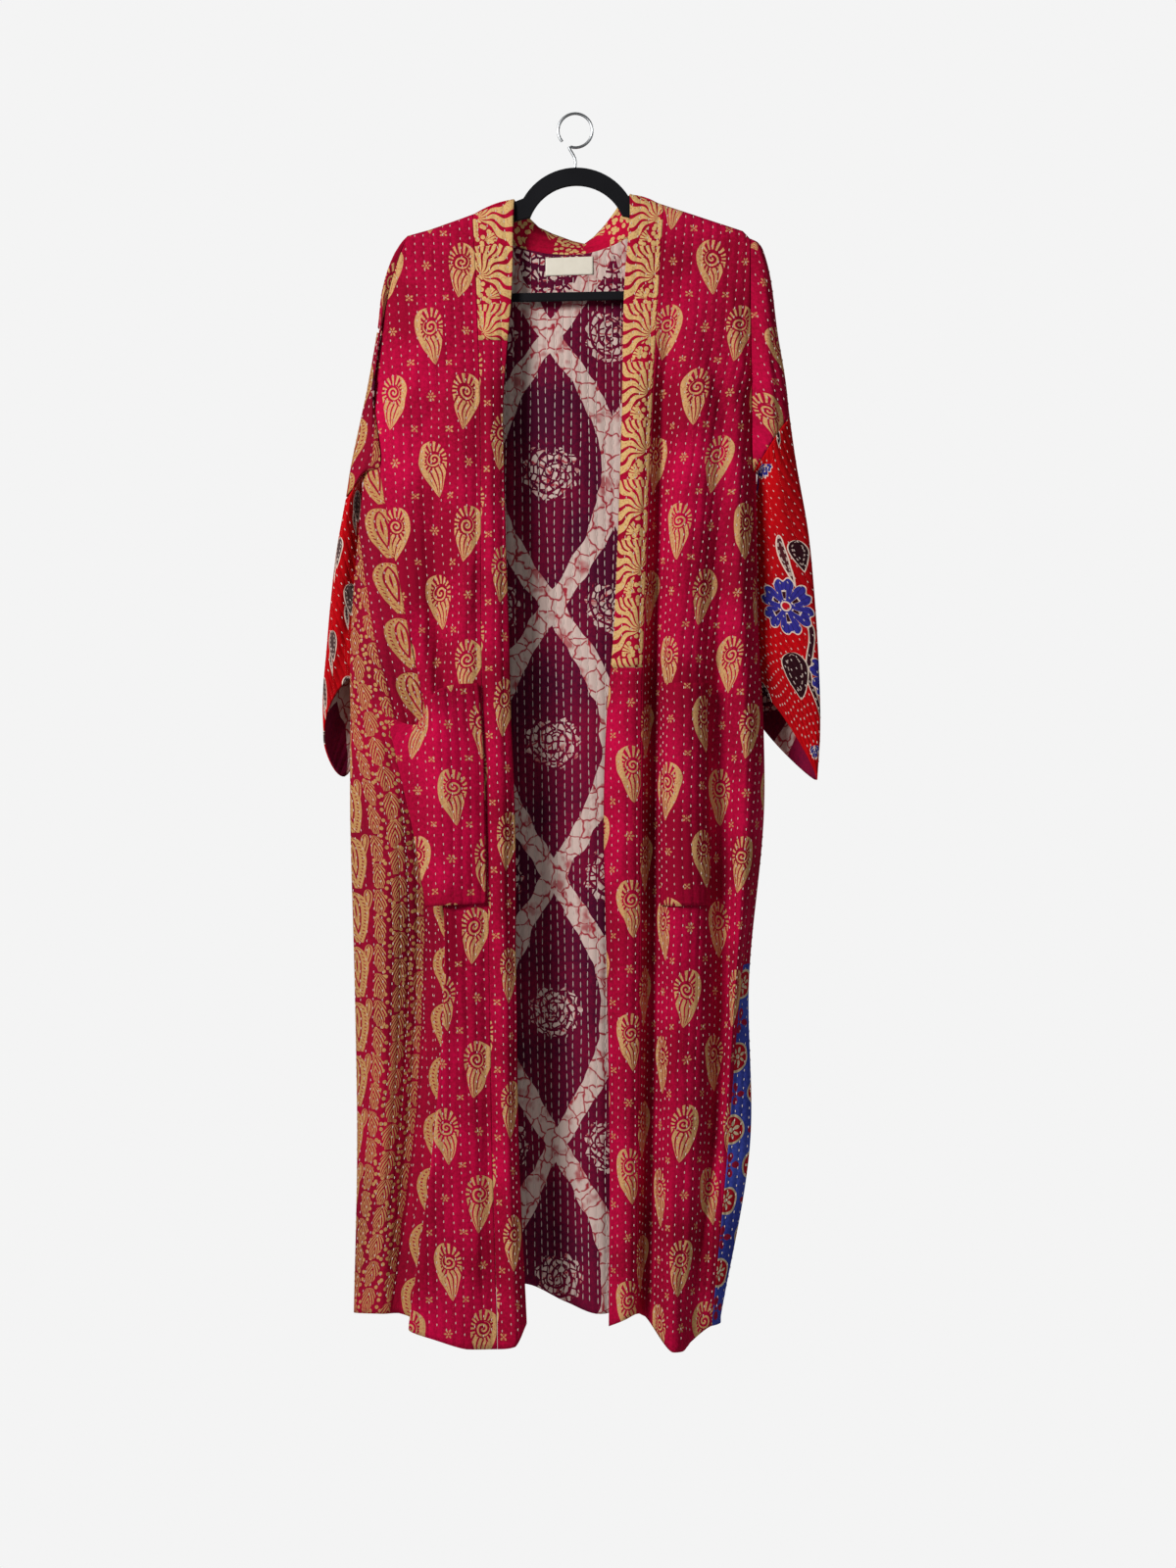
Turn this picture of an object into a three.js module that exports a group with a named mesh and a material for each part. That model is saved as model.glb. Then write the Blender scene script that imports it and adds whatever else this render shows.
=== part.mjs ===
// A long open-front kimono robe of quilted cotton, hung on a slim black hanger.
// Millimetres, +Z up. The front faces -Y, so the wearer's left is at +X.
// The origin is the inside top of the hook, where a rail carries the hanger.
import * as THREE from "three";

// Driving sizes of the cloth.
const WALL = 2.0; // several layers of cotton, quilted together
const SEAM_GAP = 0.3;
const COLLAR_GAP = 0.5;
const CLOTH_OVER_ARM = 4; // from the top of the hanger's arm to the cloth's outer face
const GUSSET_TOP_Z = -425; // the underarm
const ARMHOLE_GAP = 0.6;
const SHORT_PRINT_END_Z = -268; // where the bordered collar piece stops on the wearer's right
const LONG_PRINT_END_Z = -650; // and on the wearer's left

// Driving sizes of the hanger.
const HANGER_TILT = 0.019; // radians, the wearer's left end hangs a little high
const HANGER_THICK = 5.6;
const ARCH_TOP_Z = -62;
const ARCH_OUTER_Z = -134; // centres and radii of the arch's two arcs
const ARCH_OUTER_R = 72;
const ARCH_INNER_Z = -141;
const ARCH_INNER_R = 58;
const ARM_START_X = 61;
const ARM_START_Z = -97;
const HANGER_X = 1.5; // how far the leaning hanger's arms lie to the wearer's left
const ARM_SLOPE = 0.35;
const ARM_DEPTH = 21;
const ARM_BEND_X = 195; // past this the arm turns down
const ARM_BEND_SLOPE = 0.7;
const BAR_TOP_Z = -208;
const BAR_BOTTOM_Z = -218;
const HOOK_WIRE_R = 1.7;
const HOOK_R = 20;
const HOOK_STEM_TOP_Z = -46;

// Heights at which the body's section is given, from the yoke down to the hem.
const LEVELS = [-120, -210, -360, -600, -715, -830, -1015, -1210, -1410];

// The body's section, from the wearer's right front edge round the back to the left front edge.
// Each row is one fold or edge: x and y at the nine heights, then the height of the hem under it.
const SECTION = [
  {
    at: "right edge", hem: -1412,
    x: [-72, -74, -84, -77, -74, -69, -68, -65, -56],
    y: [-16, -16, -24, -26, -28, -28, -28, -28, -30],
  },
  {
    at: "right band crest", hem: -1436,
    x: [-96, -94, -98, -93, -90, -86, -83, -79, -69],
    y: [-18, -18, -32, -36, -38, -40, -40, -42, -44],
  },
  {
    at: "right band seam", hem: -1440,
    x: [-120, -115, -110, -109, -107, -103, -99, -96, -90],
    y: [-18, -18, -30, -34, -35, -36, -36, -36, -38],
  },
  {
    at: "right front crest", hem: -1438,
    x: [-139, -139, -135, -128, -126, -123, -121, -124, -125],
    y: [-19, -19, -34, -38, -40, -42, -43, -45, -48],
  },
  {
    at: "right front valley", hem: -1428,
    x: [-165, -168, -166, -161, -147, -142, -139, -146, -159],
    y: [-19, -19, -28, -17, -32, -42, -44, -46, -49],
  },
  {
    at: "right front fold", hem: -1415,
    x: [-176, -194, -197, -179, -163, -156, -151, -165, -192],
    y: [-14, -15, -24, -26, -36, -46, -47, -48, -50],
  },
  {
    at: "right side seam", hem: -1410,
    x: [-188, -218, -234, -195, -171, -146, -142, -155, -182],
    y: [-8, -8, -10, -28, -24, -28, -29, -30, -34],
  },
  {
    at: "gusset valley", hem: -1402,
    x: [-194, -223, -238, -211, -186, -172, -180, -190, -206],
    y: [-5, -5, -6, -25, -16, -13, -10, -11, -20],
  },
  {
    at: "gusset crest", hem: -1401,
    x: [-197, -225, -240, -234, -227, -221, -221, -223, -225],
    y: [-3, -3, -4, -25, -28, -30, -31, -30, -28],
  },
  {
    at: "right side", hem: -1405,
    x: [-198, -226, -242, -263, -264, -264, -259, -256, -260],
    y: [0, 0, 0, 0, 0, 0, 0, 0, 0],
  },
  {
    at: "gusset back crest", hem: -1406,
    x: [-197, -225, -240, -244, -240, -234, -228, -228, -229],
    y: [3, 3, 4, 12, 14, 20, 28, 32, 34],
  },
  {
    at: "right back seam", hem: -1404,
    x: [-188, -218, -234, -205, -196, -189, -185, -185, -188],
    y: [8, 8, 10, 17, 19, 24, 29, 32, 36],
  },
  {
    at: "back valley 1", hem: -1398,
    x: [-170, -180, -186, -170, -161, -156, -153, -152, -152],
    y: [14, 14, 19, 19, 20, 20, 20, 20, 22],
  },
  {
    at: "back crest 1", hem: -1390,
    x: [-120, -134, -140, -128, -122, -119, -116, -114, -113],
    y: [15, 17, 17, 31, 36, 38, 44, 48, 52],
  },
  {
    at: "back valley 2", hem: -1376,
    x: [-78, -83, -87, -78, -74, -71, -69, -66, -63],
    y: [13, 17, 25, 22, 23, 24, 24, 25, 27],
  },
  {
    at: "back crest 2", hem: -1400,
    x: [-20, -22, -22, -22, -22, -21, -20, -18, -15],
    y: [14, 17, 20, 29, 32, 34, 38, 42, 46],
  },
  {
    at: "back valley 3", hem: -1412,
    x: [38, 36, 38, 33, 31, 29, 29, 29, 30],
    y: [13, 17, 26, 21, 22, 22, 22, 23, 25],
  },
  {
    at: "back crest 3", hem: -1402,
    x: [103, 94, 98, 89, 87, 87, 85, 83, 79],
    y: [15, 17, 18, 28, 33, 37, 44, 48, 52],
  },
  {
    at: "back valley 4", hem: -1406,
    x: [148, 148, 152, 145, 145, 147, 140, 137, 130],
    y: [14, 16, 20, 20, 20, 20, 22, 23, 26],
  },
  {
    at: "back crest 4", hem: -1417,
    x: [182, 186, 186, 186, 188, 191, 171, 164, 154],
    y: [12, 12, 16, 12, 12, 14, 30, 34, 38],
  },
  {
    at: "left back seam", hem: -1418,
    x: [205, 205, 207, 214, 220, 220, 196, 184, 164],
    y: [8, 8, 8, 3, 3, 3, 16, 20, 24],
  },
  {
    at: "left side", hem: -1417,
    x: [210, 210, 212, 215, 221, 221, 204, 205, 171],
    y: [0, 0, 0, 0, 0, 0, 0, 0, 2],
  },
  {
    at: "left side seam", hem: -1417,
    x: [205, 205, 207, 214, 220, 220, 194, 178, 160],
    y: [-8, -8, -8, -3, -3, -3, -18, -22, -18],
  },
  {
    at: "left front outer crest", hem: -1433,
    x: [188, 189, 188, 193, 197, 197, 186, 170, 136],
    y: [-13, -13, -26, -30, -32, -34, -32, -24, -26],
  },
  {
    at: "left front valley 2", hem: -1437,
    x: [173, 173, 170, 166, 167, 170, 174, 160, 131],
    y: [-16, -16, -26, -18, -13, -10, -9, -13, -34],
  },
  {
    at: "left front middle", hem: -1441,
    x: [155, 154, 147, 142, 141, 141, 143, 138, 124],
    y: [-18, -18, -36, -38, -40, -42, -42, -44, -46],
  },
  {
    at: "left front ridge", hem: -1440,
    x: [134, 129, 122, 116, 115, 113, 116, 112, 112],
    y: [-18, -18, -34, -42, -44, -46, -48, -50, -54],
  },
  {
    at: "left front valley 1", hem: -1408,
    x: [118, 113, 101, 93, 91, 90, 88, 86, 82],
    y: [-18, -18, -13, -10, -9, -9, -9, -9, -10],
  },
  {
    at: "left band seam", hem: -1400,
    x: [103, 97, 89, 80, 77, 76, 75, 73, 71],
    y: [-18, -18, -26, -34, -36, -36, -36, -36, -34],
  },
  {
    at: "left band crest", hem: -1405,
    x: [84, 78, 72, 64, 60, 57, 57, 57, 57],
    y: [-18, -18, -32, -39, -41, -42, -43, -43, -44],
  },
  {
    at: "left edge", hem: -1415,
    x: [64, 57, 54, 45, 36, 33, 37, 40, 39],
    y: [-16, -16, -24, -26, -27, -28, -28, -28, -30],
  },
];
const place = (name) => SECTION.findIndex((row) => row.at === name);

// The collar behind the neck: its seam on the back, and its free upper edge, leaning back.
const COLLAR = [
  { seam: [-120, 0.15, -115.7], edge: [-72, 0.15, -97.5] },
  { seam: [-117, 5.2, -118], edge: [-70, 5.4, -99.5] },
  { seam: [-112, 7.8, -123], edge: [-67, 8.6, -103] },
  { seam: [-102, 9.5, -132], edge: [-63, 11, -107.5] },
  { seam: [-84, 11.5, -146], edge: [-54, 19, -116] },
  { seam: [-60, 13, -155], edge: [-44, 29, -125] },
  { seam: [-34, 14, -160], edge: [-28, 39, -131] },
  { seam: [-8, 14, -161.5], edge: [-4, 48, -138] },
  { seam: [10, 14, -160.5], edge: [11, 51, -141] },
  { seam: [27, 14, -157], edge: [22, 46, -134] },
  { seam: [45, 13, -150.5], edge: [34, 38, -123] },
  { seam: [64, 12, -141], edge: [42, 28, -114] },
  { seam: [82, 10.5, -129], edge: [49, 17, -105] },
  { seam: [93, 8, -118], edge: [53, 10, -98.5] },
  { seam: [100, 5.4, -109], edge: [62, 5.6, -94.5] },
  { seam: [103, 0.15, -105.7], edge: [64, 0.15, -92] },
];

// Rings of each sleeve, from the shoulder to the cuff. seamZ is where the ring leaves the armhole;
// under the arm the ring closes on itself at root instead. front, fold and back are points on it.
const LEFT_SLEEVE = [
  { seamZ: -157, front: [211, -7.4, -150.5], fold: [217, 0, -152.5], back: [211, 7.4, -150.5] },
  { seamZ: -175, front: [218, -8.8, -168], fold: [224.5, 0, -171], back: [218, 8.8, -168] },
  { seamZ: -200, front: [222, -11, -195], fold: [230.5, 0, -199], back: [222, 11, -195] },
  { seamZ: -258, front: [225, -15, -255], fold: [237.5, 1, -254], back: [225, 17, -255] },
  { seamZ: -326, front: [229, -18, -320], fold: [247, 3, -310], back: [229, 26, -318] },
  { seamZ: -419, front: [232, -17, -382], fold: [252, 5, -352.5], back: [231, 32, -376] },
  { root: [214, 9, -421], front: [236, -10, -424], fold: [260, 6, -408], back: [235, 38, -414] },
  { root: [205, 20, -486], front: [240, 0, -492], fold: [274.5, 8, -490], back: [236, 44, -486] },
  { root: [194, 25, -540], front: [240, 3, -566], fold: [281.5, 9, -561], back: [236, 49, -556] },
  { root: [178, 28, -585], front: [239, 4, -628], fold: [287, 10, -647], back: [234, 52, -622] },
  { root: [166, 29, -607], front: [238, 4, -667], fold: [288.5, 10, -722], back: [232, 52, -690] },
  { root: [156, 30, -620], front: [236, 4, -695], fold: [285, 9, -780], back: [231, 50, -728] },
];
const RIGHT_SLEEVE = [
  { seamZ: -153.5, front: [-203, -7.2, -151], fold: [-204.5, 0, -152], back: [-203, 7.2, -151] },
  { seamZ: -171.5, front: [-212, -8.4, -167], fold: [-215.5, 0, -171], back: [-212, 8.4, -167] },
  { seamZ: -203, front: [-222, -11, -199], fold: [-226.5, 0, -206], back: [-222, 11, -199] },
  { seamZ: -262, front: [-228, -14, -256], fold: [-232, 0, -251], back: [-228, 16, -256] },
  { seamZ: -330, front: [-236, -15, -322], fold: [-243.5, 2, -316], back: [-237, 24, -320] },
  { seamZ: -416, front: [-246, -13, -410], fold: [-264, 5, -413], back: [-248, 32, -410] },
  { root: [-249, 11, -418], front: [-259, -5, -437], fold: [-270, 6, -450], back: [-256, 36, -436] },
  { root: [-247, 24, -488], front: [-272, 2, -496], fold: [-281, 9, -510], back: [-264, 42, -500] },
  { root: [-243, 26, -540], front: [-279, 5, -552], fold: [-288, 11, -571], back: [-270, 47, -566] },
  { root: [-226, 32, -581.3], front: [-281, 7, -600], fold: [-293, 13, -632], back: [-268, 50, -632] },
  { root: [-216.2, 33.1, -604.3], front: [-281, 8, -641], fold: [-297, 14, -690], back: [-264, 51, -708] },
  { root: [-208, 34, -618], front: [-280, 9, -676], fold: [-297, 15, -734], back: [-276, 50, -776] },
];
const LEFT_CUFF_RING = 5; // the ring where the red part is sewn on
const RIGHT_BORDER_RINGS = [3, 6]; // the rings between which the bordered band lies

// The wearer's right pocket, which sags open: points across it at four heights.
const RIGHT_POCKET = [
  {
    row: "mouth",
    points: [[-112, -40, -668], [-143, -50, -671], [-161, -56, -679], [-184, -47, -716], [-218, -39, -706]],
  },
  {
    row: "under mouth",
    points: [[-106, -40, -750], [-129, -47, -750], [-158, -55, -750], [-184, -42, -759], [-207, -38, -756]],
  },
  {
    row: "middle",
    points: [[-104, -41, -842], [-126, -48, -842], [-155, -54, -842], [-171, -44, -842], [-188, -38, -840]],
  },
  {
    row: "bottom",
    points: [[-103, -41, -923], [-124, -48, -924], [-151, -53, -925], [-160, -48, -926], [-173, -40, -928]],
  },
];
// The left pocket: its sides in folds from the side seam, its height, and how far it stands out.
const LEFT_POCKET = { from: 4.45, to: 2.6, top: -668, bottom: -926, stand: 3, puff: 5 };
const LABEL = { x: -7, z: -175, width: 56, height: 21, tilt: 0.035, thick: 0.8 };

const COLOURS = {
  magenta: 0xb3063f,
  border: 0xb99063,
  red: 0xb80a16,
  blue: 0x3a4590,
  label: 0xddd5c4,
  velvet: 0x0b0b0c,
  steel: 0xb9bbbd,
};

const kimono = new THREE.Group();

function add(name, geometry, colour, roughness = 0.85, metalness = 0) {
  const material = new THREE.MeshStandardMaterial({ color: colour, roughness, metalness });
  const mesh = new THREE.Mesh(geometry, material);
  mesh.name = name;
  kimono.add(mesh);
  return mesh;
}

// The value at a height of a row of the section table, on a smooth curve through its nine values.
function atHeight(values, z) {
  const last = LEVELS.length - 1;
  if (z >= LEVELS[0]) return values[0];
  if (z <= LEVELS[last]) return values[last];
  const i = LEVELS.findIndex((level) => z > level) - 1;
  const slope = (a, b) => (values[b] - values[a]) / (LEVELS[b] - LEVELS[a]);
  const span = LEVELS[i + 1] - LEVELS[i];
  const t = (z - LEVELS[i]) / span;
  const before = slope(Math.max(i - 1, 0), i + 1) * span;
  const after = slope(i, Math.min(i + 2, last)) * span;
  const bend = 2 * t ** 3 - 3 * t ** 2 + 1;
  const turn = (t ** 3 - 2 * t ** 2 + t) * before + (t ** 3 - t ** 2) * after;
  return bend * values[i] + (1 - bend) * values[i + 1] + turn;
}

// A point on the smooth curve through the four points round place f.
function onCurve(points, f) {
  const last = points.length - 1;
  const i = Math.min(Math.max(Math.floor(f), 0), last - 1);
  const near = [points[Math.max(i - 1, 0)], points[i], points[i + 1], points[Math.min(i + 2, last)]];
  if (i === 0) near[0] = near[1].clone().multiplyScalar(2).sub(near[2]);
  if (i + 2 > last) near[3] = near[2].clone().multiplyScalar(2).sub(near[1]);
  return new THREE.CatmullRomCurve3(near, false, "centripetal").getPoint((1 + f - i) / 3);
}

// The shoulder line: the cloth's outer face where it lies over the hanger's arm.
function shoulderZ(x) {
  const out = Math.abs(x - HANGER_X);
  const bend = Math.max(out - ARM_BEND_X, 0) * ARM_BEND_SLOPE;
  return ARM_START_Z + CLOTH_OVER_ARM + HANGER_TILT * x - ARM_SLOPE * (out - ARM_START_X) - bend;
}

// Where the cloth turns over the arm: how far it has moved from the middle, drop below the top.
const overArm = (drop) => 7 * (1 - Math.exp(-drop / 2.2)) + 1.5 * (1 - Math.exp(-drop / 12));

const FIRST_BACK = place("right back seam");
const LAST_BACK = place("left back seam");
const NECK_LEFT_X = 103;
const NECK_RIGHT_X = -120;

// The top of the body's column at place f on the section.
function topOf(f) {
  let x = onSection(f, LEVELS[0]).x;
  const neck = f > FIRST_BACK && f < LAST_BACK && x > NECK_RIGHT_X && x < NECK_LEFT_X;
  if (!neck) return { x, y: 0, z: shoulderZ(x), neck };
  for (let tries = 0; tries < 4; tries += 1) {
    x = onSection(f, neckAt(x).seam.z).x;
  }
  return { x, y: neckAt(x).seam.y, z: neckAt(x).seam.z, neck };
}

// The neckline at x: a point of the collar's seam, one of its free edge, and which way it faces.
function neckAt(x) {
  const at = (value) => {
    const i = Math.min(Math.max(COLLAR.findIndex(({ seam }) => seam[0] >= value), 1), COLLAR.length - 1);
    const t = (value - COLLAR[i - 1].seam[0]) / (COLLAR[i].seam[0] - COLLAR[i - 1].seam[0]);
    const mix = (key) => new THREE.Vector3(...COLLAR[i - 1][key]).lerp(new THREE.Vector3(...COLLAR[i][key]), t);
    return { seam: mix("seam"), edge: mix("edge") };
  };
  const { seam, edge } = at(x);
  const along = at(x + 1).seam.sub(at(x - 1).seam);
  const facing = along.cross(seam.clone().sub(edge)).normalize();
  const end = THREE.MathUtils.smoothstep(Math.min(NECK_LEFT_X - x, x - NECK_RIGHT_X), 0, 8);
  return { seam, edge, facing: new THREE.Vector3(0, 0, 1).lerp(facing, end).normalize() };
}

function onSection(f, z) {
  const i = Math.floor(f);
  const rows = [i - 1, i, i + 1, i + 2].filter((k) => k >= 0 && k < SECTION.length);
  const points = rows.map((k) => new THREE.Vector3(atHeight(SECTION[k].x, z), atHeight(SECTION[k].y, z), z));
  return onCurve(points, f - rows[0]);
}

// A point of the body's outer face: place f round it, height z.
function onBody(f, z) {
  const point = onSection(f, z);
  const top = topOf(f);
  const drop = Math.max(top.z - z, 0);
  const ease = THREE.MathUtils.smoothstep(drop, 14, 110);
  const side = Math.sign(point.y) || 1;
  const high = top.neck ? top.y + 0.02 * drop : side * (SEAM_GAP / 2 + overArm(drop));
  point.y = high + (point.y - high) * ease;
  return point;
}

function outward(f, z) {
  const step = 0.02;
  const across = onBody(Math.min(f + step, SECTION.length - 1), z).sub(onBody(Math.max(f - step, 0), z));
  const up = onBody(f, z + 1).sub(onBody(f, z - 1));
  return up.cross(across).normalize();
}

// A closed wall from a grid of outer points and the step from each to the inner face.
function wall(outer, inner) {
  const positions = [];
  const push = (...points) => points.forEach((p) => positions.push(p.x, p.y, p.z));
  const quad = (a, b, c, d) => push(a, c, b, a, d, c);
  const columns = outer.length;
  const rows = outer[0].length;
  for (let i = 0; i < columns - 1; i += 1) {
    for (let j = 0; j < rows - 1; j += 1) {
      quad(outer[i][j], outer[i][j + 1], outer[i + 1][j + 1], outer[i + 1][j]);
      quad(inner[i][j], inner[i + 1][j], inner[i + 1][j + 1], inner[i][j + 1]);
    }
    quad(outer[i][0], outer[i + 1][0], inner[i + 1][0], inner[i][0]);
    quad(outer[i + 1][rows - 1], outer[i][rows - 1], inner[i][rows - 1], inner[i + 1][rows - 1]);
  }
  for (let j = 0; j < rows - 1; j += 1) {
    quad(outer[0][j + 1], outer[0][j], inner[0][j], inner[0][j + 1]);
    const end = columns - 1;
    quad(outer[end][j], outer[end][j + 1], inner[end][j + 1], inner[end][j]);
  }
  return new THREE.BufferGeometry().setAttribute("position", new THREE.Float32BufferAttribute(positions, 3));
}

function steps(from, to, count) {
  return Array.from({ length: count + 1 }, (_, i) => from + ((to - from) * i) / count);
}

// How far a place on the section moves for half a seam's gap.
function halfGap(f, z) {
  const step = 0.02;
  const reach = onBody(f + step, z).distanceTo(onBody(f - step, z)) / (2 * step);
  return SEAM_GAP / 2 / Math.max(reach, 1);
}

// A piece of the body between two places on the section. top and bottom cut it across;
// without them it runs from the shoulder or neck to the hem. All pieces share ROWS.
const ROWS = [...steps(-220, -640, 7), ...steps(-640, -1370, 11).slice(1)];
const TURN = [0, 1.4, 4.5, 12, 30];
const NECK_ENDS = [13.06, 13.14, 16.86, 16.94]; // more columns where the neckline leaves the shoulder
function bodyPiece(from, to, perFold, { top, bottom } = {}) {
  const extra = NECK_ENDS.filter((f) => f > from && f < to);
  const places = [...steps(from, to, Math.round((to - from) * perFold)), ...extra].sort((a, b) => a - b);
  const outer = [];
  const inner = [];
  places.forEach((f, i) => {
    const above = top ?? topOf(f).z;
    const hem = bottom ?? onCurve(SECTION.map((row) => new THREE.Vector3(row.hem, 0, 0)), f).x;
    const start = top === undefined ? TURN.map((drop) => above - drop) : [above];
    const rest = ROWS.filter((z) => z < (top ?? 0) - 1 && z > (bottom ?? -2000) + 1);
    const column = [...start, ...rest, hem].map((z, j) => {
      const edge = i === 0 ? 1 : i === places.length - 1 ? -1 : 0;
      const inside = Math.min(Math.max(f, 0.03), SECTION.length - 1.03);
      const point = onBody(f + edge * halfGap(inside, z), z);
      const flat = topOf(f).neck ? neckAt(point.x).facing : new THREE.Vector3(0, 0, 1);
      const normal = j === 0 && top === undefined ? flat : outward(inside, z);
      return [point, point.clone().addScaledVector(normal, -WALL)];
    });
    outer.push(column.map(([point]) => point));
    inner.push(column.map(([, point]) => point));
  });
  return wall(outer, inner);
}

// Fronts, back, gusset and side strip, and the band down both front edges.
const BAND_R = place("right band seam");
const BAND_L = place("left band seam");
const SIDE_R = place("right side seam");
const SIDE_L = place("left side seam");
const HALF = SEAM_GAP / 2;
const END = SECTION.length - 1;

add("front_right", bodyPiece(BAND_R, SIDE_R, 2), COLOURS.magenta);
add("front_left", bodyPiece(SIDE_L, BAND_L, 2), COLOURS.magenta);
const BACK_PER_FOLD = 4;
add("back", bodyPiece(FIRST_BACK, LAST_BACK, BACK_PER_FOLD), COLOURS.magenta);
add("side_gusset_right", bodyPiece(SIDE_R, FIRST_BACK, 2, { top: GUSSET_TOP_Z }), COLOURS.border);
add("side_strip_left", bodyPiece(LAST_BACK, SIDE_L, 2, { top: GUSSET_TOP_Z }), COLOURS.blue);
add("collar_right_print", bodyPiece(0, BAND_R, 1, { bottom: SHORT_PRINT_END_Z + HALF }), COLOURS.border);
add("collar_right_plain", bodyPiece(0, BAND_R, 1, { top: SHORT_PRINT_END_Z - HALF }), COLOURS.magenta);
add("collar_left_print", bodyPiece(BAND_L, END, 1, { bottom: LONG_PRINT_END_Z + HALF }), COLOURS.border);
add("collar_left_plain", bodyPiece(BAND_L, END, 1, { top: LONG_PRINT_END_Z - HALF }), COLOURS.magenta);

// The collar behind the neck stands on the back's own neckline and leans away from the neck.
function collarBack() {
  const places = [...steps(FIRST_BACK, LAST_BACK, (LAST_BACK - FIRST_BACK) * BACK_PER_FOLD), ...NECK_ENDS]
    .sort((a, b) => a - b)
    .filter((f) => onSection(f, LEVELS[0]).x > NECK_RIGHT_X - 1 && onSection(f, LEVELS[0]).x < NECK_LEFT_X + 1);
  const outer = [];
  const inner = [];
  places.forEach((f) => {
    const { x } = topOf(f);
    const { seam, edge, facing } = neckAt(x);
    const lift = new THREE.Vector3((-COLLAR_GAP * x) / NECK_LEFT_X, 0, COLLAR_GAP);
    const column = [0, 0.35, 0.7, 1].map((t) => {
      const bulge = new THREE.Vector3(0, 0, 3 * Math.sin(Math.PI * t));
      return edge.clone().lerp(seam, t).add(bulge).add(lift);
    });
    outer.push(column);
    inner.push(column.map((point) => point.clone().addScaledVector(facing, -WALL)));
  });
  return wall(outer, inner);
}
add("collar_back", collarBack(), COLOURS.border);

// Sleeves. Each ring runs from the front armhole round the outer fold to the back armhole.
// The first ring is the armhole's own top, over the shoulder; under the arm the ring closes.
function sleeveRing(ring, side, seam) {
  const away = side * ARMHOLE_GAP;
  if (ring.root) {
    const front = new THREE.Vector3(...ring.root);
    const back = front.clone().setY(front.y + SEAM_GAP);
    return [front, ring.front, ring.fold, ring.back, back];
  }
  const front = onBody(seam.front, ring.seamZ);
  const back = onBody(seam.back, ring.seamZ);
  return [front.setX(front.x + away), ring.front, ring.fold, ring.back, back.setX(back.x + away)];
}

// The sleeve's whole grid, which its pieces are cut from. The rings give its inside face,
// and its outside face lies a wall further out.
const RING_STEPS = 16;
const SLEEVE_SEAM_HALF = 1;
function sleeveGrid(side, table) {
  const seam = side > 0 ? { front: SIDE_L, back: LAST_BACK } : { front: SIDE_R, back: FIRST_BACK };
  const rings = table.map((ring) =>
    sleeveRing(ring, side, seam).map((p) => (p.isVector3 ? p : new THREE.Vector3(...p))),
  );
  const top = topOf(seam.front).z;
  const apex = TURN.slice(1, 3).reverse().concat(TURN.slice(0, 3)).map((drop, k) => {
    const point = onBody(k < 3 ? seam.front : seam.back, top - drop);
    return point.setX(point.x + side * ARMHOLE_GAP).setY(k === 2 ? 0 : point.y);
  });
  rings.unshift(apex);
  const closed = [false, ...table.map((ring) => Boolean(ring.root))];
  const inside = steps(0, 4, RING_STEPS).map((t) => rings.map((points) => onCurve(points, t)));
  const outside = inside.map((column, i) =>
    column.map((point, j) => {
      const around = inside[Math.min(i + 1, RING_STEPS)][j].clone().sub(inside[Math.max(i - 1, 0)][j]);
      const down = column[Math.min(j + 1, rings.length - 1)].clone().sub(column[Math.max(j - 1, 0)]);
      const normal = down.cross(around).normalize().multiplyScalar(side);
      const edge = i === 0 || i === RING_STEPS;
      if (edge && closed[j]) normal.set(-side, 0, 0);
      else if (edge || j === 0) normal.setX(0).normalize();
      return point.clone().addScaledVector(normal, WALL);
    }),
  );
  return { side, inside, outside };
}

function sleevePiece({ side, inside, outside }, from, to) {
  const last = inside[0].length - 1;
  const cut = (grid) =>
    grid.map((column) => {
      const points = column.slice(from, to + 1).map((point) => point.clone());
      const towards = (a, b) => b.clone().sub(a).setLength(SLEEVE_SEAM_HALF);
      if (from > 0) points[0].add(towards(column[from], column[from + 1]));
      if (to < last) points[to - from].add(towards(column[to], column[to - 1]));
      return points;
    });
  return side > 0 ? wall(cut(inside), cut(outside)) : wall(cut(outside), cut(inside)); // both face out
}

const LAST_RING = LEFT_SLEEVE.length;
const [BORDER_FROM, BORDER_TO] = RIGHT_BORDER_RINGS.map((ring) => ring + 1);
const leftSleeve = sleeveGrid(1, LEFT_SLEEVE);
const rightSleeve = sleeveGrid(-1, RIGHT_SLEEVE);
add("sleeve_left_upper", sleevePiece(leftSleeve, 0, LEFT_CUFF_RING + 1), COLOURS.magenta);
add("sleeve_left_lower", sleevePiece(leftSleeve, LEFT_CUFF_RING + 1, LAST_RING), COLOURS.red);
add("sleeve_right_upper", sleevePiece(rightSleeve, 0, BORDER_FROM), COLOURS.magenta);
add("sleeve_right_border", sleevePiece(rightSleeve, BORDER_FROM, BORDER_TO), COLOURS.border);
add("sleeve_right_lower", sleevePiece(rightSleeve, BORDER_TO, LAST_RING), COLOURS.red);

// Patch pockets: the wearer's right one sags, the left one lies along the folds of its front.
function gridWall(outer) {
  const inner = outer.map((column, i) =>
    column.map((point, j) => {
      const across = outer[Math.min(i + 1, outer.length - 1)][j].clone().sub(outer[Math.max(i - 1, 0)][j]);
      const down = column[Math.min(j + 1, column.length - 1)].clone().sub(column[Math.max(j - 1, 0)]);
      return point.clone().addScaledVector(across.cross(down).normalize(), -WALL);
    }),
  );
  return wall(outer, inner);
}

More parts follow.
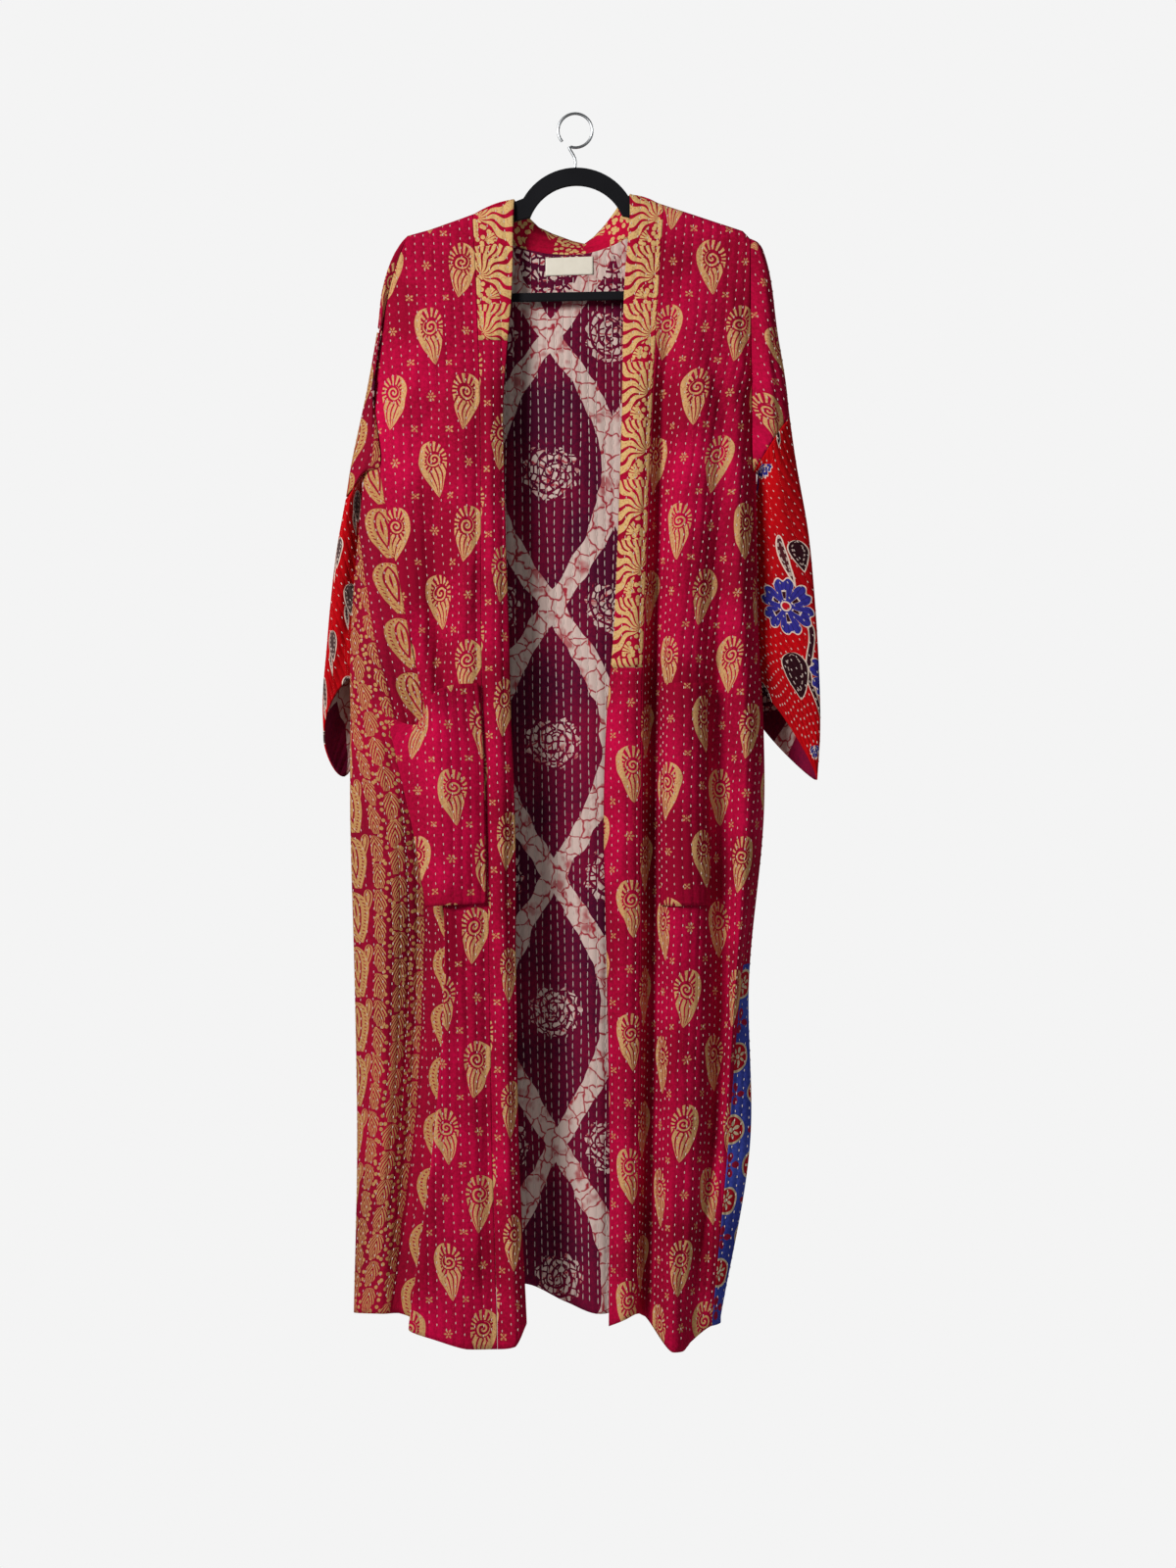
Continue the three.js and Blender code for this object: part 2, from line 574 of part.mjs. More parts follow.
function rightPocket() {
  const rows = RIGHT_POCKET.map(({ points }) => points.map((p) => new THREE.Vector3(...p)));
  const outer = steps(0, 4, 10).map((t) => {
    const column = rows.map((points) => onCurve(points, t));
    return steps(0, rows.length - 1, 8).map((r) => onCurve(column, r));
  });
  return gridWall(outer);
}

function leftPocket() {
  const { from, to, top, bottom, stand, puff } = LEFT_POCKET;
  const outer = steps(to, from, 10).map((fold, i) => {
    const bulge = Math.sin((Math.PI * i) / 10);
    return steps(top, bottom, 8).map((z, j) => {
      const f = SIDE_L + fold;
      const out = stand + puff * bulge * (1 - j / 8) ** 0.5;
      return onBody(f, z).addScaledVector(outward(f, z), out);
    });
  });
  return gridWall(outer);
}
add("pocket_right", rightPocket(), COLOURS.magenta);
add("pocket_left", leftPocket(), COLOURS.magenta);

// The woven label, sewn inside the back just under the collar.
function label() {
  const { x, z, width, height, tilt, thick } = LABEL;
  const columns = steps(-0.5, 0.5, 5);
  const rows = steps(0.5, -0.5, 2);
  const place3 = (u, v, depth) => {
    const px = x + u * width;
    const pz = z + v * height + u * width * tilt;
    const f = placeOnBack(px, pz);
    const point = onBody(f, pz);
    return point.addScaledVector(outward(f, pz), -WALL - 0.3 - depth);
  };
  const outer = columns.map((u) => rows.map((v) => place3(u, v, 0)));
  const inner = columns.map((u) => rows.map((v) => place3(u, v, thick)));
  return wall(outer, inner);
}

// The place on the back's section that lies at x, found by halving.
function placeOnBack(x, z) {
  let low = FIRST_BACK;
  let high = LAST_BACK;
  for (let k = 0; k < 24; k += 1) {
    const middle = (low + high) / 2;
    if (onBody(middle, z).x < x) low = middle;
    else high = middle;
  }
  return low;
}
add("label", label(), COLOURS.label);

// The hanger: an arch between two sloping arms, closed below by a bar for trousers.
function hangerShape() {
  const armTop = (x) => ARM_START_Z - ARM_SLOPE * (x - ARM_START_X);
  const arc = (radius, centre, to) =>
    steps(0, to, 12).map((a) => [radius * Math.sin(a), centre + radius * Math.cos(a)]);
  const outerHalf = [
    ...arc(ARCH_OUTER_R, ARCH_OUTER_Z, 1.03),
    [76, armTop(76)],
    [ARM_BEND_X - 3, armTop(ARM_BEND_X - 3)],
    [203, -152.4],
    [209, -159.6],
    [212, -168],
    [211, -184],
    [204, -203],
    [190, -215],
    [178, BAR_BOTTOM_Z],
  ];
  const innerHalf = [
    ...arc(ARCH_INNER_R, ARCH_INNER_Z, 1.2),
    [66, armTop(66) - ARM_DEPTH - 2.5],
    [80, armTop(80) - ARM_DEPTH - 1],
    [180, armTop(180) - ARM_DEPTH + 1],
    [192, -171],
    [194, -182],
    [189, -197],
    [178, BAR_TOP_Z],
  ];
  const closed = (half) => {
    const right = half.map(([x, z]) => new THREE.Vector2(x, z));
    const left = half.map(([x, z]) => new THREE.Vector2(-x, z)).reverse();
    return [...right, ...left.filter((p) => Math.abs(p.x) > 0.01)];
  };
  const shape = new THREE.Shape(closed(outerHalf));
  shape.holes.push(new THREE.Path(closed(innerHalf).reverse())); // a hole runs the other way round
  return shape;
}
const hangerGeometry = new THREE.ExtrudeGeometry(hangerShape(), {
  depth: HANGER_THICK - 2,
  bevelEnabled: true,
  bevelThickness: 1,
  bevelSize: 1,
  bevelOffset: -1,
  bevelSegments: 1,
});
hangerGeometry.translate(0, 0, 1 - HANGER_THICK / 2);
hangerGeometry.rotateX(Math.PI / 2);
hangerGeometry.rotateY(-HANGER_TILT);
hangerGeometry.translate(-1, 0, 0);
add("hanger", hangerGeometry, COLOURS.velvet, 0.95);

// The hook: bent steel wire rising from the arch, open towards the wearer's right.
const crook = steps(-0.62, 1.22, 22).map((turn) => {
  const angle = Math.PI * turn;
  return new THREE.Vector3(HOOK_R * Math.cos(angle), 0, HOOK_WIRE_R - HOOK_R + HOOK_R * Math.sin(angle));
});
const stem = [new THREE.Vector3(0, 0, ARCH_TOP_Z + SEAM_GAP), new THREE.Vector3(0, 0, HOOK_STEM_TOP_Z - 6)];
const hookPath = new THREE.CatmullRomCurve3([...stem, ...crook], false, "centripetal");
const wire = new THREE.Shape().absarc(0, 0, HOOK_WIRE_R, 0, 2 * Math.PI);
const hookGeometry = new THREE.ExtrudeGeometry(wire, { extrudePath: hookPath, steps: 44, curveSegments: 4 });
add("hook", hookGeometry, COLOURS.steel, 0.3, 1);

export default kimono;
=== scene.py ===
"""A long open-front kimono robe of hand-quilted printed cotton, hung on a slim black velvet hanger.

+Z is up, the front faces -Y and the wearer's left is +X. Blender gets metres. The cloth's tables,
its functions and the names that end in MM are in mm.
"""

import math

import bpy
import numpy as np
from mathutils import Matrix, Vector


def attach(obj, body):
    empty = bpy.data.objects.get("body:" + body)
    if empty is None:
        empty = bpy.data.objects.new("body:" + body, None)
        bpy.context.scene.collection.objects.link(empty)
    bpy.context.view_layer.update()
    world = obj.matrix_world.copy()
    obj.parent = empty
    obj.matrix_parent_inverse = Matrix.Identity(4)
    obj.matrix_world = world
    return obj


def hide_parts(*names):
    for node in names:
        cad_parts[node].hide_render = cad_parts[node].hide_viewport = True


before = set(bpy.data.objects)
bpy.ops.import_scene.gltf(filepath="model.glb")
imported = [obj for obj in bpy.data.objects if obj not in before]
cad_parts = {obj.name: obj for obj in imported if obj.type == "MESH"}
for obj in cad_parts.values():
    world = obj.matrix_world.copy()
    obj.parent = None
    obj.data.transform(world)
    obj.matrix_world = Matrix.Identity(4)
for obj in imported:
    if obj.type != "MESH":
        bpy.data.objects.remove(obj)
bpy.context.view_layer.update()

# The camera stands level, three metres in front of the robe, as the photograph was taken.
# The photograph is 1200 by 1600 and 1.84 m of the robe's plane fills its height.
CAMERA_BACK = 3.0
VIEW_HEIGHT = 1.84
VIEW_CENTRE = (0.015, -0.785)

bpy.ops.object.camera_add(
    location=(VIEW_CENTRE[0], -CAMERA_BACK, VIEW_CENTRE[1]), rotation=(math.pi / 2, 0, 0)
)
camera = bpy.context.object
camera.name = "camera"
camera.data.sensor_fit = "VERTICAL"
camera.data.angle = 2 * math.atan(VIEW_HEIGHT / 2 / CAMERA_BACK)
bpy.context.scene.camera = camera


# The hanger is moulded plastic covered in black velvet flock: a soft, very dark face that only
# lightens where it is seen edge on. It keeps the part's own shape.


def srgb(code):
    """The linear colour of an sRGB hex value such as "c0102a"."""
    parts = [int(code[i : i + 2], 16) / 255 for i in (0, 2, 4)]
    linear = [c / 12.92 if c <= 0.04045 else ((c + 0.055) / 1.055) ** 2.4 for c in parts]
    return (*linear, 1.0)


def add(tree, kind, *values, **settings):
    """Adds one node, such as "TexNoise", or "Math SINE" with its operation as a second word. Each
    value sets or links the node's next input, and None leaves that as it is. More than two values
    to add, multiply or compare are joined one after another."""
    node_type, _, operation = kind.partition(" ")
    while operation in ("ADD", "MULTIPLY", "MAXIMUM", "MINIMUM") and len(values) > 2:
        values = (add(tree, kind, *values[:2]), *values[2:])
    node = tree.nodes.new("ShaderNode" + node_type)
    if operation:
        node.operation = operation
    for name, setting in settings.items():
        setattr(node, name, setting)
    sockets = [s for s in node.inputs if s.enabled]
    for socket, value in zip(sockets, values):
        if value is None:
            continue
        if isinstance(value, bpy.types.Node):
            value = next(s for s in value.outputs if s.enabled)
        if isinstance(value, bpy.types.NodeSocket):
            tree.links.new(value, socket)
        else:
            socket.default_value = value
    return node


def new_material(name):
    """An empty material with its node tree and its shader, already linked to the output."""
    material = bpy.data.materials.new(name)
    material.use_nodes = True
    tree = material.node_tree
    tree.nodes.clear()
    shader = add(tree, "BsdfPrincipled")
    add(tree, "OutputMaterial", shader)
    return material, tree, shader


def set_shader(tree, shader, colour=None, normal=None, **numbers):
    """Colour and normal may be linked; every other number is set on the shader's own socket."""
    for socket, value in (("Base Color", colour), ("Normal", normal)):
        if isinstance(value, bpy.types.Node):
            tree.links.new(next(s for s in value.outputs if s.enabled), shader.inputs[socket])
        elif value is not None:
            shader.inputs[socket].default_value = value
    for name, value in numbers.items():
        shader.inputs[name.replace("_", " ")].default_value = value


def dress(node_name, material):
    """Gives a CAD node's object one material in place of its own."""
    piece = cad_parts[node_name]
    piece.data.materials.clear()
    piece.data.materials.append(material)


FLOCK_FIBRE_MM = 1.2  # real flock is finer than this; drawn as coarse as it needs to show

velvet, tree, shader = new_material("black_velvet_flock")
where = add(tree, "TexCoord").outputs["Object"]
fibres = add(tree, "TexNoise", where, 1000 / FLOCK_FIBRE_MM, 3.0, 0.6, noise_dimensions="3D")
worn = add(tree, "TexNoise", where, 18.0, 2.0, 0.5, noise_dimensions="3D")
tone = add(tree, "Mix", worn, srgb("08080a"), srgb("16161a"), data_type="RGBA")
nap = add(tree, "Bump", 0.35, 0.0006, None, fibres)
set_shader(tree, shader, tone, nap, Roughness=0.95, Specular_IOR_Level=0.2)
set_shader(tree, shader, Sheen_Weight=0.12, Sheen_Roughness=0.5, Sheen_Tint=srgb("5a5a62"))
dress("hanger", velvet)

# The hook is bright bent steel wire, drawn through a die, so its fine scratches run along it. Its
# stem is set in the top of the hanger, and its crook hangs on the rail.
WIRE_SCRATCH_MM = 0.8

wire_steel, tree, shader = new_material("drawn_steel_wire")
where = add(tree, "TexCoord").outputs["Object"]
scratches = add(tree, "TexNoise", where, 1000 / WIRE_SCRATCH_MM, 2.0, 0.5)
tone = add(tree, "Mix", scratches, srgb("86888a"), srgb("a6a8aa"), data_type="RGBA")
drawn = add(tree, "Bump", 0.2, 0.0002, None, scratches)
set_shader(tree, shader, tone, drawn, Metallic=1.0, Roughness=0.4)
dress("hook", wire_steel)


# The body of the robe is cut from straight lengths of cotton: two fronts, a back, a side panel
# and a side strip. They all hang in the folds given here, round the body from the right front
# edge to the left front edge: each fold's x and y in mm at nine heights, and its hem.
LEVELS = [-120, -210, -360, -600, -715, -830, -1015, -1210, -1410]
SECTION = [
    ("right edge", -1412,
     [-72, -74, -84, -77, -74, -69, -68, -65, -56],
     [-16, -16, -24, -26, -28, -28, -28, -28, -30]),
    ("right band crest", -1436,
     [-96, -94, -98, -93, -90, -86, -83, -79, -69],
     [-18, -18, -32, -36, -38, -40, -40, -42, -44]),
    ("right band seam", -1440,
     [-120, -115, -110, -109, -107, -103, -99, -96, -90],
     [-18, -18, -30, -34, -35, -36, -36, -36, -38]),
    ("right front crest", -1438,
     [-139, -139, -135, -128, -126, -123, -121, -124, -125],
     [-19, -19, -34, -38, -40, -42, -43, -45, -48]),
    ("right front valley", -1428,
     [-165, -168, -166, -161, -147, -142, -139, -146, -159],
     [-19, -19, -28, -17, -32, -42, -44, -46, -49]),
    ("right front fold", -1415,
     [-176, -194, -197, -179, -163, -156, -151, -165, -192],
     [-14, -15, -24, -26, -36, -46, -47, -48, -50]),
    ("right side seam", -1410,
     [-188, -218, -234, -195, -171, -146, -142, -155, -182],
     [-8, -8, -10, -28, -24, -28, -29, -30, -34]),
    ("gusset valley", -1402,
     [-194, -223, -238, -211, -186, -172, -180, -190, -206],
     [-5, -5, -6, -25, -16, -13, -10, -11, -20]),
    ("gusset crest", -1401,
     [-197, -225, -240, -234, -227, -221, -221, -223, -225],
     [-3, -3, -4, -25, -28, -30, -31, -30, -28]),
    ("right side", -1405,
     [-198, -226, -242, -263, -264, -264, -259, -256, -260],
     [0, 0, 0, 0, 0, 0, 0, 0, 0]),
    ("gusset back crest", -1406,
     [-197, -225, -240, -244, -240, -234, -228, -228, -229],
     [3, 3, 4, 12, 14, 20, 28, 32, 34]),
    ("right back seam", -1404,
     [-188, -218, -234, -205, -196, -189, -185, -185, -188],
     [8, 8, 10, 17, 19, 24, 29, 32, 36]),
    ("back valley 1", -1398,
     [-170, -180, -186, -170, -161, -156, -153, -152, -152],
     [14, 14, 19, 19, 20, 20, 20, 20, 22]),
    ("back crest 1", -1390,
     [-120, -134, -140, -128, -122, -119, -116, -114, -113],
     [15, 17, 17, 31, 36, 38, 44, 48, 52]),
    ("back valley 2", -1376,
     [-78, -83, -87, -78, -74, -71, -69, -66, -63],
     [13, 17, 25, 22, 23, 24, 24, 25, 27]),
    ("back crest 2", -1400,
     [-20, -22, -22, -22, -22, -21, -20, -18, -15],
     [14, 17, 20, 29, 32, 34, 38, 42, 46]),
    ("back valley 3", -1412,
     [38, 36, 38, 33, 31, 29, 29, 29, 30],
     [13, 17, 26, 21, 22, 22, 22, 23, 25]),
    ("back crest 3", -1402,
     [103, 94, 98, 89, 87, 87, 85, 83, 79],
     [15, 17, 18, 28, 33, 37, 44, 48, 52]),
    ("back valley 4", -1406,
     [148, 148, 152, 145, 145, 147, 140, 137, 130],
     [14, 16, 20, 20, 20, 20, 22, 23, 26]),
    ("back crest 4", -1417,
     [182, 186, 186, 186, 188, 191, 171, 164, 154],
     [12, 12, 16, 12, 12, 14, 30, 34, 38]),
    ("left back seam", -1418,
     [205, 205, 207, 214, 220, 220, 196, 184, 164],
     [8, 8, 8, 3, 3, 3, 16, 20, 24]),
    ("left side", -1417,
     [210, 210, 212, 215, 221, 221, 204, 205, 171],
     [0, 0, 0, 0, 0, 0, 0, 0, 2]),
    ("left side seam", -1417,
     [205, 205, 207, 214, 220, 220, 194, 178, 160],
     [-8, -8, -8, -3, -3, -3, -18, -22, -18]),
    ("left front outer crest", -1433,
     [188, 189, 188, 193, 197, 197, 186, 170, 136],
     [-13, -13, -26, -30, -32, -34, -32, -24, -26]),
    ("left front valley 2", -1437,
     [173, 173, 170, 166, 167, 170, 174, 160, 131],
     [-16, -16, -26, -18, -13, -10, -9, -13, -34]),
    ("left front middle", -1441,
     [155, 154, 147, 142, 141, 141, 143, 138, 124],
     [-18, -18, -36, -38, -40, -42, -42, -44, -46]),
    ("left front ridge", -1440,
     [134, 129, 122, 116, 115, 113, 116, 112, 112],
     [-18, -18, -34, -42, -44, -46, -48, -50, -54]),
    ("left front valley 1", -1408,
     [118, 113, 101, 93, 91, 90, 88, 86, 82],
     [-18, -18, -13, -10, -9, -9, -9, -9, -10]),
    ("left band seam", -1400,
     [103, 97, 89, 80, 77, 76, 75, 73, 71],
     [-18, -18, -26, -34, -36, -36, -36, -36, -34]),
    ("left band crest", -1405,
     [84, 78, 72, 64, 60, 57, 57, 57, 57],
     [-18, -18, -32, -39, -41, -42, -43, -43, -44]),
    ("left edge", -1415,
     [64, 57, 54, 45, 36, 33, 37, 40, 39],
     [-16, -16, -24, -26, -27, -28, -28, -28, -30]),
]
FOLD_X = np.array([x for _, _, x, _ in SECTION], float)
FOLD_Y = np.array([y for _, _, _, y in SECTION], float)
FOLD_HEM = np.array([hem for _, hem, _, _ in SECTION], float)


def place(name):
    """The number of a fold in the table."""
    return next(i for i, row in enumerate(SECTION) if row[0] == name)


def at_height(values, z):
    """Each fold's value at heights z: a smooth curve through its nine values."""
    levels = np.array(LEVELS, float)
    slopes = np.empty_like(values)
    slopes[:, 1:-1] = (values[:, 2:] - values[:, :-2]) / (levels[2:] - levels[:-2])
    slopes[:, 0] = (values[:, 1] - values[:, 0]) / (levels[1] - levels[0])
    slopes[:, -1] = (values[:, -1] - values[:, -2]) / (levels[-1] - levels[-2])
    z = np.clip(z, levels[-1], levels[0])
    i = np.clip(np.searchsorted(-levels, -z, side="left") - 1, 0, len(levels) - 2)
    span = levels[i + 1] - levels[i]
    t = (z - levels[i]) / span
    bend = 2 * t**3 - 3 * t**2 + 1
    lean = (t**3 - 2 * t**2 + t) * slopes[:, i] + (t**3 - t**2) * slopes[:, i + 1]
    return bend * values[:, i] + (1 - bend) * values[:, i + 1] + lean * span


def smooth_through(p0, p1, p2, p3, t):
    """The centripetal curve between p1 and p2. Points are (3, n) arrays, t runs from 0 to 1."""
    d0, d1, d2 = (np.maximum(np.linalg.norm(b - a, axis=0) ** 0.5, 1e-4)
                  for a, b in ((p0, p1), (p1, p2), (p2, p3)))
    m1 = ((p1 - p0) / d0 - (p2 - p0) / (d0 + d1) + (p2 - p1) / d1) * d1
    m2 = ((p2 - p1) / d1 - (p3 - p1) / (d1 + d2) + (p3 - p2) / d2) * d1
    c2 = -3 * p1 + 3 * p2 - 2 * m1 - m2
    c3 = 2 * p1 - 2 * p2 + m1 + m2
    return p1 + m1 * t + c2 * t**2 + c3 * t**3


def along_rows(points, f):
    """points is (3, rows, n) and f is (n,): the smooth curve through each point's rows, at f."""
    last = points.shape[1] - 1
    i = np.clip(np.floor(f).astype(int), 0, last - 1)
    n = np.arange(len(f))
    p1, p2 = points[:, i, n], points[:, i + 1, n]
    p0 = np.where(i > 0, points[:, np.maximum(i - 1, 0), n], 2 * p1 - p2)
    p3 = np.where(i + 2 <= last, points[:, np.minimum(i + 2, last), n], 2 * p2 - p1)
    return smooth_through(p0, p1, p2, p3, f - i)


def on_section(f, z):
    """Points (3, n) of the body's outer face, from the fold table alone. Everything in mm."""
    f, z = np.broadcast_arrays(np.asarray(f, float), np.asarray(z, float))
    rows = np.array([at_height(FOLD_X, z.ravel()), at_height(FOLD_Y, z.ravel())])
    heights = np.broadcast_to(z.ravel(), rows[0].shape)
    return along_rows(np.concatenate([rows, heights[None]]), f.ravel())


# The hanger's arm under the shoulders, and how high the cloth rides over it.
SHOULDER = dict(start_x=61, start_z=-97, cloth=4, tilt=0.019, middle=1.5, slope=0.35)
SHOULDER_BEND_X = 195
SHOULDER_BEND = 0.7
SEAM_MM = 0.3


def shoulder_z(x):
    """The height of the shoulder seam at x, bending down past the end of the hanger's arm."""
    out = np.abs(x - SHOULDER["middle"])
    level = SHOULDER["start_z"] + SHOULDER["cloth"] + SHOULDER["tilt"] * x
    bend = np.maximum(out - SHOULDER_BEND_X, 0) * SHOULDER_BEND
    return level - SHOULDER["slope"] * (out - SHOULDER["start_x"]) - bend


# The collar behind the neck: points of its seam on the back, and of its free upper edge.
COLLAR = [
    ((-120, 0.15, -115.7), (-72, 0.15, -97.5)),
    ((-117, 5.2, -118), (-70, 5.4, -99.5)),
    ((-112, 7.8, -123), (-67, 8.6, -103)),
    ((-102, 9.5, -132), (-63, 11, -107.5)),
    ((-84, 11.5, -146), (-54, 19, -116)),
    ((-60, 13, -155), (-44, 29, -125)),
    ((-34, 14, -160), (-28, 39, -131)),
    ((-8, 14, -161.5), (-4, 48, -138)),
    ((10, 14, -160.5), (11, 51, -141)),
    ((27, 14, -157), (22, 46, -134)),
    ((45, 13, -150.5), (34, 38, -123)),
    ((64, 12, -141), (42, 28, -114)),
    ((82, 10.5, -129), (49, 17, -105)),
    ((93, 8, -118), (53, 10, -98.5)),
    ((100, 5.4, -109), (62, 5.6, -94.5)),
    ((103, 0.15, -105.7), (64, 0.15, -92)),
]
NECK_RIGHT, NECK_LEFT = -120, 103
FIRST_BACK = place("right back seam")
LAST_BACK = place("left back seam")
BAND_R = place("right band seam")
BAND_L = place("left band seam")
SIDE_R = place("right side seam")
SIDE_L = place("left side seam")
LAST_FOLD = len(SECTION) - 1


def neck_at(x):
    """The neckline's seam and the collar's free edge at x, as (3, n) arrays."""
    seams = np.array([seam for seam, _ in COLLAR], float)
    edges = np.array([edge for _, edge in COLLAR], float)
    seam = [np.interp(x, seams[:, 0], seams[:, k]) for k in range(3)]
    edge = [np.interp(x, seams[:, 0], edges[:, k]) for k in range(3)]
    return np.array(seam), np.array(edge)


def top_of(f):
    """Where the column at f starts: height and y, and whether it hangs from the neckline."""
    f = np.asarray(f, float)
    x = on_section(f, np.full(f.shape, LEVELS[0]))[0].reshape(f.shape)
    neck = (f > FIRST_BACK) & (f < LAST_BACK) & (x > NECK_RIGHT) & (x < NECK_LEFT)
    low = x
    for _ in range(4):  # x and height depend on each other, and settle in four rounds
        low = on_section(f, neck_at(low)[0][2])[0].reshape(f.shape)
    seam = neck_at(low)[0]
    return np.where(neck, seam[2], shoulder_z(x)), np.where(neck, seam[1], 0), neck


# Just under the seam the cloth follows the hanger's arm, and lower down it follows the folds.
ARM_HALF_MM = 7
ARM_ROUND_MM = 2.2
ARM_SWELL_MM = 1.5
SWELL_ROUND_MM = 12
NECK_SLOPE = 0.02
EASE_MM = (14, 110)


def smooth_step(t):
    """A soft change from 0 to 1 as t goes from 0 to 1."""
    t = np.clip(t, 0, 1)
    return t * t * (3 - 2 * t)


def on_body(f, z):
    """Points (3, n) of the body's outer face in mm, eased out of the hang over the shoulder."""
    f, z = (a.ravel() for a in np.broadcast_arrays(np.asarray(f, float), np.asarray(z, float)))
    point = on_section(f, z)
    top_z, top_y, neck = top_of(f)
    drop = np.maximum(top_z - z, 0)
    ease = smooth_step((drop - EASE_MM[0]) / (EASE_MM[1] - EASE_MM[0]))
    side = np.where(point[1] < 0, -1, 1)
    rounded = ARM_HALF_MM * (1 - np.exp(-drop / ARM_ROUND_MM))
    swell = ARM_SWELL_MM * (1 - np.exp(-drop / SWELL_ROUND_MM))
    high = np.where(neck, top_y + NECK_SLOPE * drop, side * (SEAM_MM / 2 + rounded + swell))
    point[1] = high + (point[1] - high) * ease
    return point


# Cloth that hangs for years takes creases of its own. Each crease runs through points given as
# x and z in mm, seen from the front, with its width and how far it stands out (+) or in (-).
CREASES = {
    "front_right": [
        ([(-150, -668), (-128, -590), (-118, -500)], 11, 2.2),
        ([(-210, -700), (-190, -640), (-182, -560)], 10, -2.0),
        ([(-225, -420), (-190, -400), (-160, -340), (-140, -250)], 14, -3.0),
        ([(-228, -400), (-196, -350), (-178, -270)], 12, 2.4),
        ([(-128, -940), (-124, -1060), (-126, -1180)], 7, -2.0),
        ([(-118, -1150), (-112, -1260), (-118, -1400)], 10, 2.4),
    ],
    "front_left": [
        ([(208, -410), (180, -370), (160, -300), (150, -220)], 14, -3.0),
        ([(206, -330), (188, -270), (180, -200)], 10, 2.0),
        ([(112, -940), (118, -1050), (114, -1160)], 9, 2.0),
        ([(150, -700), (160, -620), (166, -520)], 10, 2.0),
        ([(125, -1200), (120, -1300), (126, -1420)], 10, -2.4),
    ],
    "side_panel": [
        ([(-240, -640), (-215, -760), (-222, -900)], 12, -2.6),
        ([(-250, -950), (-228, -1080), (-238, -1220)], 11, 2.4),
    ],
    "collar": [
        ([(-74, -330), (-82, -420), (-76, -520)], 10, 1.8),
        ([(44, -700), (52, -820), (46, -930)], 10, 1.8),
        ([(-70, -760), (-76, -900), (-70, -1040)], 10, -1.8),
    ],
    "sleeve_left_upper": [
        ([(228, -250), (236, -320), (244, -400)], 7, -1.6),
    ],
    "sleeve_left_lower": [
        ([(236, -440), (250, -500), (268, -560)], 10, 2.0),
        ([(222, -520), (236, -580), (262, -640)], 12, -2.2),
        ([(212, -590), (232, -640), (270, -710)], 10, 1.8),
    ],
    "sleeve_right_border": [
        ([(-232, -300), (-242, -350), (-250, -420)], 7, -1.4),
    ],
    "sleeve_right_lower": [
        ([(-262, -470), (-272, -540), (-284, -620)], 9, 1.8),
        ([(-250, -560), (-268, -610), (-288, -700)], 10, -2.0),
    ],
}
CREASE_END = 0.25  # the share of a crease in which it fades at each end
CREASE_FALL = 2.2


def creased(grid, creases):
    """Moves a (3, columns, rows) grid along its normals by the creases of its piece."""
    points = grid.reshape(3, -1)
    x, z = points[0], points[2]
    shift = np.zeros(points.shape[1])
    for path, width, height in creases:
        path = np.array(path, float)
        best = np.full(x.shape, 1e9)
        run = np.zeros(x.shape)
        lengths = np.linalg.norm(np.diff(path, axis=0), axis=1)
        total = lengths.sum()
        walked = 0.0
        for (x0, z0), (x1, z1), length in zip(path[:-1], path[1:], lengths):
            t = np.clip(((x - x0) * (x1 - x0) + (z - z0) * (z1 - z0)) / length**2, 0, 1)
            away = np.hypot(x - x0 - t * (x1 - x0), z - z0 - t * (z1 - z0))
            run = np.where(away < best, (walked + t * length) / total, run)
            best = np.minimum(best, away)
            walked += length
        ends = smooth_step(np.minimum(run, 1 - run) / CREASE_END)
        shift += height * ends * np.exp(-((best / width) ** 2) * CREASE_FALL)
    return (points + grid_normals(grid).reshape(3, -1) * shift).reshape(grid.shape)


def grid_normals(grid):
    """Unit normals of a (3, columns, rows) grid, as the cloth's outer face looks."""
    across = np.gradient(grid, axis=1)
    down = np.gradient(grid, axis=2)
    normal = np.cross(across, down, axis=0)
    return normal / np.maximum(np.linalg.norm(normal, axis=0), 1e-9)


CLOTH_MM = 1.7  # a little under the part's wall, so the two faces never touch at a seam


def cloth_piece(name, grid, u, v, materials):
    """Makes a piece of cloth from a (3, columns, rows) grid in mm, with its flat cut as UV.

    The outer face gets the first material and the inner face the second.
    """
    columns, rows = grid.shape[1:]
    index = np.arange(columns * rows).reshape(columns, rows)
    quads = np.stack([index[:-1, :-1], index[1:, :-1], index[1:, 1:], index[:-1, 1:]], axis=-1)
    quads = quads.reshape(-1, 4)
    mesh = bpy.data.meshes.new(name)
    vertices = (grid.reshape(3, -1).T / 1000).tolist()
    mesh.from_pydata(vertices, [], quads.tolist())
    layer = mesh.uv_layers.new(name="cut")
    flat = np.stack([u.ravel(), v.ravel()], axis=-1)[quads.ravel()] / 1000
    layer.data.foreach_set("uv", flat.ravel())
    piece = bpy.data.objects.new(name, mesh)
    bpy.context.collection.objects.link(piece)
    for material in materials:
        mesh.materials.append(material)
    bpy.ops.object.select_all(action="DESELECT")
    bpy.context.view_layer.objects.active = piece
    piece.select_set(True)
    wall = piece.modifiers.new("wall", "SOLIDIFY")
    wall.thickness = CLOTH_MM / 1000
    wall.offset = -1.0
    wall.use_quality_normals = True
    wall.material_offset = len(materials) - 1
    bpy.ops.object.modifier_apply(modifier=wall.name)
    bpy.ops.object.shade_smooth()
    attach(piece, "root")
    return piece


def arc_across(grid, start):
    """How far each point of a grid lies from the column at start, measured over the cloth."""
    steps = np.linalg.norm(np.diff(grid, axis=1), axis=0)
    run = np.concatenate([np.zeros((1, grid.shape[2])), np.cumsum(steps, axis=0)])
    return run - run[start]


